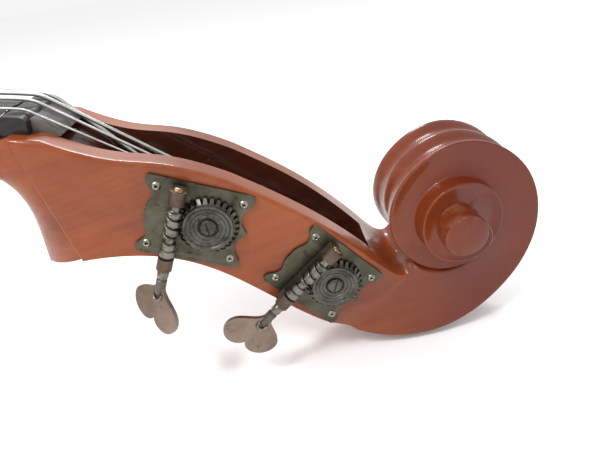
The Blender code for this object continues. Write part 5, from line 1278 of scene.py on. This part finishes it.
def string_route(name, across, diameter):
    """A string's line in the object frame, from the tailpiece over bridge and nut to its roller."""
    machine = [m for m in MACHINES if m[0] == name][0]
    slope, front = tailpiece_slope(), TAILPIECE_FRONT
    lift = diameter / 2 + 0.0010
    hole = (front[0] - 0.024 * math.cos(slope), front[1] - 0.024 * math.sin(slope))
    tail_y, bridge_y = across * TAILPIECE_SPREAD, across * BRIDGE_SPREAD
    crown_z = bridge_crown(bridge_y) + lift
    route = [Vector((hole[0] + 0.006 * math.sin(slope), tail_y, hole[1] - 0.006 * math.cos(slope))),
             Vector((hole[0] - lift * math.sin(slope), tail_y, hole[1] + lift * math.cos(slope))),
             Vector((BRIDGE_X - 0.006, bridge_y, crown_z)),
             Vector((BRIDGE_X + 0.006, bridge_y, crown_z))]
    crown = NUT_CROWN[name]
    tangent = string_tangent(machine, diameter)
    for x, y, z in ((-0.0055, across, crown), (0.0015, across, crown - 0.0002),
                    (0.0065, across, crown - 0.0024),
                    (tangent[0], across * ROLLER_SPREAD, tangent[1])):
        route.append(NECK @ Vector((x, y, z)))
    return route


def build_strings():
    for name, across, diameter in STRINGS:
        route = string_route(name, across, diameter)
        path = rounded_route(route, 0.0035)
        add_piece(f"string_{name}_wound", tube_mesh("string", path, diameter / 2, 14), STRING,
                  replaces=[f"string_{name}"])
        silk_end = [Vector(route[1]).lerp(Vector(route[2]), t) for t in (0.03, 0.85)]
        add_piece(f"silk_tail_{name}", tube_mesh("silk", silk_end, diameter / 2 + 0.00015, 14),
                  SILK)


def build_saddle_and_wire():
    """The saddle at the tail, and the wire that runs over it and round the socket."""
    saddle_x, top = TAIL_X + 0.001, EDGE_TOP_Z + PLATE_EDGE
    profile = corner_profile([(saddle_x, top + 0.0009, 0.0004),
                              (saddle_x + 0.0143, top + 0.0009, 0.0004),
                              (saddle_x + 0.0143, top + 0.0078, 0.003),
                              (saddle_x, top + 0.0085, 0.003)])
    saddle = slab_mesh("saddle", [profile], -0.030, 0.030)
    saddle.transform(Matrix.Rotation(math.pi / 2, 4, "X"))
    add_piece("saddle_ebony", saddle, EBONY, replaces=["saddle"], bevel=0.0005)

    wire_r, slope = 0.0015, tailpiece_slope()
    hole = (TAILPIECE_BACK[0] + 0.012 * math.cos(slope),
            TAILPIECE_BACK[1] + 0.012 * math.sin(slope))
    over = top + 0.0085 + wire_r + 2 * GAP
    loop_x, loop_r = TAIL_X - 0.0040, SOCKET_BODY_R - 0.004 + wire_r + 2 * GAP
    half = [(hole[0] - 0.005 * math.sin(slope), 0.011, hole[1] + 0.004 * math.cos(slope)),
            (hole[0] + 0.0105 * math.sin(slope), 0.011, hole[1] - 0.0125 * math.cos(slope)),
            (saddle_x + 0.014, 0.012, over), (saddle_x - 0.001, 0.012, over),
            (loop_x, 0.0125, over - 0.009), (loop_x, loop_r, END_Z + 0.01)]
    around = [(loop_x, loop_r * math.cos(a), END_Z - loop_r * math.sin(a))
              for a in np.linspace(0, math.pi, 33)]
    route = half + around + [(x, -y, z) for x, y, z in half[::-1]]
    add_piece("tail_wire_twisted", tube_mesh("tail_wire", rounded_route(route, 0.004), wire_r, 12),
              NICKEL, replaces=["tail_wire"])


def build_socket():
    """The turned endpin socket, with the hole for its thumbscrew."""
    bore, collar, neck_r = ENDPIN_R + GAP, 0.020, SOCKET_BODY_R - 0.004
    at_tail = Matrix.Translation((SOCKET_X, 0, END_Z)) @ Matrix.Rotation(math.pi / 2, 4, "Y")
    profile = [(bore, 0.046), (SOCKET_BODY_R * 0.9, 0.046), (SOCKET_BODY_R * 0.9, 0.0),
               (neck_r, 0.0), (neck_r, -0.0092), (neck_r + 0.0008, -0.0100),
               (collar - 0.0012, -0.0104),
               (collar, -0.0116), (collar, -0.0170), (collar - 0.0008, -0.0184), (0.0176, -0.0200),
               (0.0166, -0.0206), (0.0170, -0.0216), (0.0146, -0.0290), (0.0136, -0.0299),
               (bore + 0.0006, -0.0300), (bore, -0.0294), (bore, 0.046)]
    socket = lathe_mesh("socket", profile, 64)
    socket.transform(at_tail)
    socket = cut_mesh("socket", socket, [bar_mesh("bore", (THUMBSCREW_X, 0, END_Z),
                                                  (THUMBSCREW_X, -0.05, END_Z), 0.0024)])
    add_piece("endpin_socket_turned", socket, EBONY, replaces=["endpin_socket"])


def build_endpin():
    """The endpin's rod and rubber tip."""
    at_rod = Matrix.Translation((TAIL_X - 0.040, 0, END_Z)) @ Matrix.Rotation(math.pi / 2, 4, "Y")
    groove = [(ENDPIN_R, z + dz) if dz in (0.0, 0.004) else (ENDPIN_R - 0.0004, z + dz)
              for z in np.linspace(0.06, 0.33, 10) for dz in (0.0, 0.0006, 0.0034, 0.004)][::-1]
    rod = [(0, ENDPIN_LENGTH), (ENDPIN_R - 0.001, ENDPIN_LENGTH), (ENDPIN_R, ENDPIN_LENGTH - 0.001),
           *groove, (ENDPIN_R, 0), (0, 0)]
    add_piece("endpin_rod_steel", lathe_mesh("rod", rod, 48), BRIGHT_STEEL,
              "endpin", ["endpin_rod"], at_rod)
    tip = [(0, -0.0003), (0.0080, -0.0003), (0.0087, -0.0008), (0.0097, -0.0028), (0.0100, -0.0040),
           (0.0097, -0.0075), (0.0088, -0.0090), (0.0070, -0.0098), (0.004, -0.0100), (0, -0.0097)]
    add_piece("endpin_tip_rubber", lathe_mesh("tip", tip, 48), RUBBER, "endpin",
              ["endpin_tip"], at_rod)


def build_thumbscrew():
    """The socket's thumbscrew, knurled round its head."""
    rows = []
    outline = [(0, 0.0340), (0.0052, 0.0339), (0.0063, 0.0331), (0.0068, 0.0318), (0.0067, 0.0290),
               (0.0060, 0.0262), (0.0040, 0.0250), (0.0030, 0.0240), (0.0021, 0.0225),
               (0.0021, ENDPIN_R + GAP), (0, ENDPIN_R + GAP)]
    steps, knurled_r = 96, 0.0058
    for i in range(steps + 1):
        turn = 2 * math.pi * i / steps
        knurl = 1 - 0.045 * (i % 4 in (1, 2))
        rows.append([(r * (knurl if r > knurled_r else 1) * math.cos(turn),
                      r * (knurl if r > knurled_r else 1) * math.sin(turn), z) for r, z in outline])
    thumb = grid_mesh("thumbscrew", [rows], (), 35, 0.000005)
    add_piece("thumbscrew_knurled", thumb, NICKEL, "thumbscrew",
              ["endpin_thumbscrew"],
              Matrix.Translation((THUMBSCREW_X, 0, END_Z)) @ Matrix.Rotation(math.pi / 2, 4, "X"))


# --------------------------------------------------------------------------- materials

WORN_MAPLE, WORN_SPRUCE = (0.42, 0.235, 0.125), (0.50, 0.30, 0.15)     # where the varnish is gone


def material(name, roughness=0.5, metallic=0.0, coat=0.0, coat_roughness=0.1, specular=0.5):
    made = bpy.data.materials.new(name)
    made.use_nodes = True
    shader = made.node_tree.nodes["Principled BSDF"]
    shader.inputs["Roughness"].default_value = roughness
    shader.inputs["Metallic"].default_value = metallic
    shader.inputs["Coat Weight"].default_value = coat
    shader.inputs["Coat Roughness"].default_value = coat_roughness
    shader.inputs["Specular IOR Level"].default_value = specular
    return made, made.node_tree, shader


def add_node(tree, kind, **values):
    """A node with some of its inputs or properties set by name."""
    node = tree.nodes.new(kind)
    for key, value in values.items():
        socket = node.inputs.get(key.replace("_", " "))
        if socket is not None:
            socket.default_value = value
        else:
            setattr(node, key, value)
    return node


def placed(tree, scale=(1, 1, 1), turn=0.0):
    """Object coordinates, turned about Y by an angle and scaled along their axes."""
    where = add_node(tree, "ShaderNodeTexCoord")
    turned = add_node(tree, "ShaderNodeMapping", Rotation=(0, turn, 0))
    scaled = add_node(tree, "ShaderNodeMapping", Scale=scale)
    tree.links.new(where.outputs["Object"], turned.inputs["Vector"])
    tree.links.new(turned.outputs["Vector"], scaled.inputs["Vector"])
    return scaled.outputs["Vector"]


def noise(tree, scale, turn=0.0, detail=4.0, roughness=0.55, distortion=0.0):
    """Noise of the given fineness along X, Y and Z, turned about Y."""
    vector = placed(tree, scale, turn)
    node = add_node(tree, "ShaderNodeTexNoise", Scale=1.0, Detail=detail, Roughness=roughness,
                    Distortion=distortion)
    tree.links.new(vector, node.inputs["Vector"])
    return node.outputs["Fac"]


def ramp(tree, value, *stops):
    """A colour ramp: stops of (position, colour or grey)."""
    node = add_node(tree, "ShaderNodeValToRGB")
    elements = node.color_ramp.elements
    while len(elements) < len(stops):
        elements.new(0.5)
    for element, (position, colour) in zip(elements, stops):
        element.position = position
        element.color = (*colour, 1) if isinstance(colour, tuple) else (colour, colour, colour, 1)
    tree.links.new(value, node.inputs["Fac"])
    return node.outputs["Color"]


def mixed(tree, share, first, second, blend="MIX"):
    """Mix two colours; the share may be a number or a socket, the colours tuples or sockets."""
    node = tree.nodes.new("ShaderNodeMix")
    node.data_type = "RGBA"
    node.blend_type = blend
    for socket, value in ((node.inputs[0], share), (node.inputs[6], first),
                          (node.inputs[7], second)):
        if isinstance(value, (int, float)):
            socket.default_value = value
        elif isinstance(value, tuple):
            socket.default_value = (*value, 1)
        else:
            tree.links.new(value, socket)
    return node.outputs[2]


def maths(tree, operation, first, second=0.0):
    node = tree.nodes.new("ShaderNodeMath")
    node.operation = operation
    node.use_clamp = True
    for socket, value in zip(node.inputs, (first, second)):
        if isinstance(value, (int, float)):
            socket.default_value = value
        else:
            tree.links.new(value, socket)
    return node.outputs[0]


def raised(tree, shader, height, strength, distance, coat=False):
    bump = add_node(tree, "ShaderNodeBump", Strength=strength, Distance=distance)
    tree.links.new(height, bump.inputs["Height"])
    tree.links.new(bump.outputs["Normal"], shader.inputs["Normal"])
    if coat:
        tree.links.new(bump.outputs["Normal"], shader.inputs["Coat Normal"])


def convexity(tree, low, high):
    """Grey that rises from low to high pointiness: the outer edges of a shape."""
    geometry = add_node(tree, "ShaderNodeNewGeometry")
    return ramp(tree, geometry.outputs["Pointiness"], (low, 0.0), (high, 1.0))


def varnished_maple(name, light, middle, dark, turn, flame, worn, darken_from=9.0):
    """Varnished maple: grain along X, flame across it, darker patches and worn edges.

    The colour darkens towards the scroll, past the place along X that the last argument gives.
    """
    made, tree, shader = material(name, 0.36, 0.0, 0.42, 0.07, 0.20)
    grain = noise(tree, (9, 200, 200), turn, 6.0, 0.6)
    pores = noise(tree, (30, 1100, 1100), turn, 3.0, 0.7)
    flames = noise(tree, (70, 7, 7), turn, 2.0, 0.45, 0.4)
    patches = noise(tree, (13, 17, 17), turn, 5.0, 0.6, 0.4)
    colour = mixed(tree, ramp(tree, patches, (0.36, 0.0), (0.60, 1.0)), dark, middle)
    colour = mixed(tree, ramp(tree, flames, (0.38, 0.0), (0.64, flame)), colour, light)
    colour = mixed(tree, ramp(tree, grain, (0.36, 0.0), (0.70, 0.40)), colour, light)
    colour = mixed(tree, ramp(tree, pores, (0.30, 0.16), (0.42, 0.0)), colour, dark)
    # Darker towards the scroll, past the place along X that the last argument gives.
    along = add_node(tree, "ShaderNodeSeparateXYZ")
    tree.links.new(placed(tree), along.inputs[0])
    darkening = add_node(tree, "ShaderNodeMapRange", From_Min=darken_from, From_Max=darken_from + 0.07)
    tree.links.new(along.outputs["X"], darkening.inputs["Value"])
    colour = mixed(tree, maths(tree, "MULTIPLY", darkening.outputs["Result"], 0.88), colour,
                   (dark[0] * 0.75, dark[1] * 0.55, dark[2] * 0.5))
    chips = noise(tree, (130, 130, 130), turn, 6.0, 0.7)
    edges = convexity(tree, 0.53, 0.60)
    wear = maths(tree, "MULTIPLY", edges, ramp(tree, chips, (0.50, 0.0), (0.62, worn)))
    colour = mixed(tree, wear, colour, WORN_MAPLE)
    tree.links.new(colour, shader.inputs["Base Color"])
    smears = noise(tree, (30, 30, 30), turn, 5.0, 0.65)
    tree.links.new(ramp(tree, smears, (0.3, 0.28), (0.7, 0.46)), shader.inputs["Roughness"])
    height = maths(tree, "ADD", maths(tree, "MULTIPLY", grain, 0.2),
                   maths(tree, "MULTIPLY", smears, 0.8))
    raised(tree, shader, height, 0.10, 0.0004, True)
    return made


def spruce_top():
    """Varnished spruce: straight grain lines along the body."""
    made, tree, shader = material("spruce_varnish", 0.34, 0.0, 0.75, 0.08, 0.4)
    lines = noise(tree, (3.0, 520, 60), 0.0, 3.0, 0.5, 0.15)
    broad = noise(tree, (1.5, 90, 20), 0.0, 3.0, 0.5)
    patches = noise(tree, (6, 9, 9), 0.0, 5.0, 0.6, 0.5)
    colour = mixed(tree, ramp(tree, patches, (0.34, 0.0), (0.66, 1.0)), (0.260, 0.070, 0.016),
                   (0.42, 0.150, 0.038))
    colour = mixed(tree, ramp(tree, lines, (0.40, 0.75), (0.56, 0.0)), colour, (0.19, 0.048, 0.014))
    colour = mixed(tree, ramp(tree, broad, (0.38, 0.35), (0.6, 0.0)), colour, (0.22, 0.06, 0.018))
    wear = maths(tree, "MULTIPLY", convexity(tree, 0.54, 0.62),
                 ramp(tree, noise(tree, (60, 60, 60), 0.0, 6.0, 0.7), (0.45, 0.0), (0.6, 0.8)))
    colour = mixed(tree, wear, colour, WORN_SPRUCE)
    tree.links.new(colour, shader.inputs["Base Color"])
    raised(tree, shader, lines, 0.18, 0.0004, True)
    return made


def bare_wood(name, light, dark, scale, roughness, bump=0.2):
    made, tree, shader = material(name, roughness)
    grain = noise(tree, scale, 0.0, 6.0, 0.6, 0.2)
    flecks = noise(tree, tuple(3.3 * s for s in scale), 0.0, 3.0, 0.6)
    colour = mixed(tree, ramp(tree, grain, (0.32, 0.0), (0.66, 1.0)), dark, light)
    colour = mixed(tree, ramp(tree, flecks, (0.30, 0.45), (0.44, 0.0)), colour, dark)
    tree.links.new(colour, shader.inputs["Base Color"])
    raised(tree, shader, grain, bump, 0.0004)
    return made


def ebony():
    """Polished ebony: near black, with faint brown streaks, dust and a soft shine."""
    made, tree, shader = material("ebony_polished", 0.28, 0.0, 0.30, 0.10, 0.22)
    streaks = noise(tree, (20, 500, 300), NECK_ANGLE, 5.0, 0.6)
    dust = noise(tree, (120, 120, 120), 0.0, 6.0, 0.7)
    colour = mixed(tree, ramp(tree, streaks, (0.45, 0.0), (0.72, 1.0)), (0.008, 0.007, 0.007),
                   (0.030, 0.022, 0.018))
    colour = mixed(tree, ramp(tree, dust, (0.52, 0.0), (0.75, 0.25)), colour, (0.055, 0.048, 0.042))
    tree.links.new(colour, shader.inputs["Base Color"])
    tree.links.new(ramp(tree, dust, (0.3, 0.18), (0.7, 0.42)), shader.inputs["Roughness"])
    raised(tree, shader, streaks, 0.12, 0.0003)
    return made


def aged_metal(name, clean, stained, dark, roughness, scale, metallic=1.0, scratches=0.3, edge=0.6):
    """Old metal: clean and stained patches, fine scratches, dirt, and edges rubbed bright."""
    made, tree, shader = material(name, roughness, metallic)
    patches = noise(tree, (scale, scale, scale), 0.0, 6.0, 0.65, 0.5)
    spots = noise(tree, (scale * 5, scale * 5, scale * 5), 0.0, 5.0, 0.7)
    lines = noise(tree, (scale * 3, scale * 60, scale * 60), 0.7, 2.0, 0.5)
    colour = mixed(tree, ramp(tree, patches, (0.36, 0.0), (0.62, 1.0)), stained, clean)
    colour = mixed(tree, ramp(tree, spots, (0.56, 0.0), (0.70, 0.75)), colour, dark)
    colour = mixed(tree, maths(tree, "MULTIPLY", convexity(tree, 0.52, 0.60), edge), colour, clean)
    geometry = add_node(tree, "ShaderNodeNewGeometry")
    crevices = ramp(tree, geometry.outputs["Pointiness"], (0.42, 0.85), (0.485, 0.0))
    colour = mixed(tree, crevices, colour, dark)
    tree.links.new(colour, shader.inputs["Base Color"])
    worn = mixed(tree, 0.5, ramp(tree, patches, (0.3, roughness + 0.16), (0.7, roughness - 0.10)),
                 ramp(tree, lines, (0.4, roughness - 0.06), (0.6, roughness + 0.10)))
    tree.links.new(worn, shader.inputs["Roughness"])
    height = maths(tree, "ADD", maths(tree, "MULTIPLY", lines, scratches),
                   maths(tree, "MULTIPLY", spots, 0.5))
    raised(tree, shader, height, 0.25, 0.0002)
    return made


def wound_string():
    """Flat-wound steel: a fine pitch of turns across the string, slightly mottled."""
    made, tree, shader = material("string_windings", 0.30, 1.0)
    turns = add_node(tree, "ShaderNodeTexWave", Scale=620.0, Distortion=0.4, Detail=1.0)
    turns.bands_direction = "X"
    tree.links.new(placed(tree, (1, 0.4, 0.4), NECK_ANGLE), turns.inputs["Vector"])
    patches = noise(tree, (60, 60, 60), 0.0, 4.0, 0.6)
    colour = mixed(tree, ramp(tree, patches, (0.35, 0.0), (0.7, 1.0)), (0.50, 0.52, 0.48),
                   (0.80, 0.82, 0.78))
    colour = mixed(tree, ramp(tree, turns.outputs["Fac"], (0.1, 0.5), (0.5, 0.0)), colour,
                   (0.22, 0.22, 0.20))
    tree.links.new(colour, shader.inputs["Base Color"])
    raised(tree, shader, turns.outputs["Fac"], 0.35, 0.0001)
    return made


def silk():
    made, tree, shader = material("silk_wrap", 0.55)
    turns = add_node(tree, "ShaderNodeTexWave", Scale=700.0, Distortion=1.5, Detail=2.0)
    turns.bands_direction = "X"
    tree.links.new(placed(tree), turns.inputs["Vector"])
    colour = mixed(tree, turns.outputs["Fac"], (0.02, 0.035, 0.10), (0.06, 0.10, 0.26))
    tree.links.new(colour, shader.inputs["Base Color"])
    raised(tree, shader, turns.outputs["Fac"], 0.4, 0.0001)
    return made


def rubber():
    made, tree, shader = material("rubber_tip", 0.75, 0.0, 0.0, 0.1, 0.3)
    dust = noise(tree, (260, 260, 260), 0.0, 6.0, 0.7)
    tree.links.new(mixed(tree, ramp(tree, dust, (0.4, 0.0), (0.75, 1.0)), (0.012, 0.012, 0.012),
                         (0.075, 0.070, 0.065)), shader.inputs["Base Color"])
    raised(tree, shader, dust, 0.3, 0.0003)
    return made


def inlay():
    made, tree, shader = material("purfling_lines", 0.4, 0.0, 0.6, 0.1)
    grain = noise(tree, (200, 200, 200), 0.0, 4.0, 0.6)
    tree.links.new(mixed(tree, grain, (0.010, 0.008, 0.006), (0.035, 0.022, 0.014)),
                   shader.inputs["Base Color"])
    raised(tree, shader, grain, 0.1, 0.0001)
    return made


def pale_floor():
    made, tree, shader = material("floor_paper", 0.9, 0.0, 0.0, 0.1, 0.0)
    fibres = noise(tree, (40, 40, 40), 0.0, 4.0, 0.6)
    tree.links.new(mixed(tree, fibres, (0.955, 0.96, 0.96), (0.985, 0.99, 0.99)),
                   shader.inputs["Base Color"])
    return made


NECK_MAPLE = varnished_maple("maple_neck_varnish", (0.330, 0.090, 0.020), (0.255, 0.052, 0.009),
                             (0.145, 0.022, 0.006), NECK_ANGLE, 0.10, 0.9, NUT.x + 0.150)
# A darker copy of the neck's varnish, without worn edges: painted shade for the inside of the
# pegbox.
PEGBOX_SHADE_MAPLE = varnished_maple("maple_pegbox_painted_shade", (0.085, 0.022, 0.008), (0.045, 0.009, 0.004),
                               (0.020, 0.005, 0.003), NECK_ANGLE, 0.10, 0.0)
BODY_MAPLE = varnished_maple("maple_body_varnish", (0.330, 0.092, 0.022), (0.235, 0.050, 0.011),
                             (0.140, 0.026, 0.008), 0.0, 0.60, 0.7)
SPRUCE_TOP = spruce_top()
BRIDGE_MAPLE = bare_wood("maple_bridge", (0.66, 0.46, 0.27), (0.44, 0.27, 0.13), (120, 160, 12),
                         0.5)
INSIDE_SPRUCE = bare_wood("spruce_inside", (0.60, 0.43, 0.26), (0.38, 0.24, 0.12), (8, 200, 60),
                          0.75)
EBONY = ebony()
DULL_EBONY = bare_wood("ebony_dusty", (0.150, 0.130, 0.115), (0.045, 0.038, 0.034), (60, 300, 60),
                       0.65)
ROLLER_WOOD = bare_wood("turned_hardwood", (0.16, 0.085, 0.045), (0.045, 0.022, 0.012),
                        (90, 40, 90), 0.5)
PLATE_BRASS = aged_metal("brass_plate_aged", (0.119, 0.109, 0.078), (0.058, 0.054, 0.040),
                         (0.017, 0.015, 0.011), 0.42, 45.0)
SCREW_STEEL = aged_metal("plate_screw_nickel", (0.360, 0.338, 0.288), (0.187, 0.173, 0.137),
                         (0.014, 0.013, 0.011), 0.30, 160.0)
BEARING = aged_metal("bearing_brown", (0.144, 0.101, 0.078), (0.068, 0.045, 0.033),
                     (0.016, 0.012, 0.009), 0.46, 90.0, 0.75)
ROD_STEEL = aged_metal("rod_brown_steel", (0.137, 0.112, 0.102), (0.076, 0.060, 0.054),
                       (0.020, 0.016, 0.014), 0.40, 110.0, 0.85)
WORM_STEEL = aged_metal("worm_steel", (0.238, 0.227, 0.194), (0.108, 0.101, 0.083),
                        (0.012, 0.010, 0.009), 0.30, 140.0)
CAP_BRASS = aged_metal("cap_brass", (0.331, 0.245, 0.144), (0.173, 0.115, 0.065),
                       (0.036, 0.025, 0.014), 0.36, 160.0)
NICKEL = aged_metal("nickel_worn", (0.62, 0.59, 0.53), (0.34, 0.31, 0.26), (0.06, 0.05, 0.04), 0.27,
                    120.0)
BRIGHT_STEEL = aged_metal("steel_bright", (0.74, 0.74, 0.73), (0.52, 0.52, 0.51),
                          (0.20, 0.19, 0.18), 0.22, 50.0)
GUNMETAL = aged_metal("gear_gunmetal", (0.122, 0.119, 0.102), (0.043, 0.042, 0.034),
                      (0.009, 0.008, 0.006), 0.36, 95.0)
KEY_BRONZE = aged_metal("key_bronze", (0.266, 0.205, 0.162), (0.187, 0.133, 0.099),
                        (0.086, 0.058, 0.040), 0.44, 40.0, 0.9)
STRING, SILK, RUBBER, PURFLING, FLOOR = wound_string(), silk(), rubber(), inlay(), pale_floor()


# --------------------------------------------------------------------------- stage, light and camera

def build_floor():
    """A wide, flat, pale floor."""
    centre, rows = (CAD_LOW + CAD_HIGH) / 2, []
    for radius in (0.0, 1.5, 3.0, 6.0, 9.0, 12.0):
        rows.append([(centre.x + radius * math.cos(a), centre.y + radius * math.sin(a), 0.0)
                     for a in np.linspace(0, 2 * math.pi, 65)])
    mesh = grid_mesh("floor", [rows], weld=0.0001)
    floor = bpy.data.objects.new("floor", mesh)
    bpy.context.scene.collection.objects.link(floor)
    floor.location.z = CAD_LOW.z - 0.0005
    mesh.materials.append(FLOOR)


def area_light(name, place, target, size, power, colour=(1, 1, 1)):
    light = bpy.data.lights.new(name, "AREA")
    light.shape = "RECTANGLE"
    light.size, light.size_y = size
    light.energy = power
    light.color = colour
    lamp = bpy.data.objects.new(name, light)
    bpy.context.scene.collection.objects.link(lamp)
    lamp.location = place
    lamp.rotation_euler = (Vector(target) - Vector(place)).to_track_quat("-Z", "Y").to_euler()


def build_lights():
    """Even white surroundings, with small lamps above for shape and glints."""
    bpy.context.scene.view_settings.view_transform = "Standard"
    world = bpy.data.worlds.new("studio")
    bpy.context.scene.world = world
    world.use_nodes = True
    background = world.node_tree.nodes["Background"]
    background.inputs["Color"].default_value = (1.0, 1.0, 1.0, 1)
    background.inputs["Strength"].default_value = 0.92
    area_light("key_light", (0.25, -0.7, 1.6), (0.75, 0, 0.12), (0.30, 0.30), 12)
    area_light("back_light", (0.75, 1.2, 1.2), (0.75, 0, 0.12), (0.5, 0.25), 11)
    area_light("far_light", (-1.2, -1.2, 2.6), (-0.3, 0, 0.2), (1.2, 0.9), 25)


def build_camera():
    """Close to the head, from above the treble side, a little towards the scroll."""
    right, up = (0.9929, -0.1021, 0.0604), (-0.0031, 0.4865, 0.8737)
    view = (0.1186, 0.8677, -0.4827)
    camera = bpy.data.cameras.new("camera")
    camera.lens, camera.sensor_width = 27.71, 36.0
    camera.clip_start, camera.clip_end = 0.01, 50.0
    holder = bpy.data.objects.new("camera", camera)
    bpy.context.scene.collection.objects.link(holder)
    axes = Matrix((right, up, [-c for c in view])).transposed().to_4x4()
    axes.translation = (0.1092, -0.2525, 0.0658)
    holder.matrix_world = NECK @ axes
    bpy.context.scene.camera = holder


def dress_inside_parts():
    """Material for the inner pieces that keep their CAD shape."""
    for node in ("bass_bar", "sound_post", "back_braces", "neck_block", "end_block",
                 "corner_blocks_treble", "corner_blocks_bass"):
        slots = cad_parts[node].data.materials
        slots.clear()
        slots.append(INSIDE_SPRUCE)


build_camera()
build_lights()
build_floor()
build_head()
build_nut()
build_fingerboard()
for tuner in MACHINES:
    build_machine(tuner)
build_strings()
build_top()
build_back()
build_ribs()
build_bridge()
build_tailpiece()
build_saddle_and_wire()
build_socket()
build_endpin()
build_thumbscrew()
dress_inside_parts()
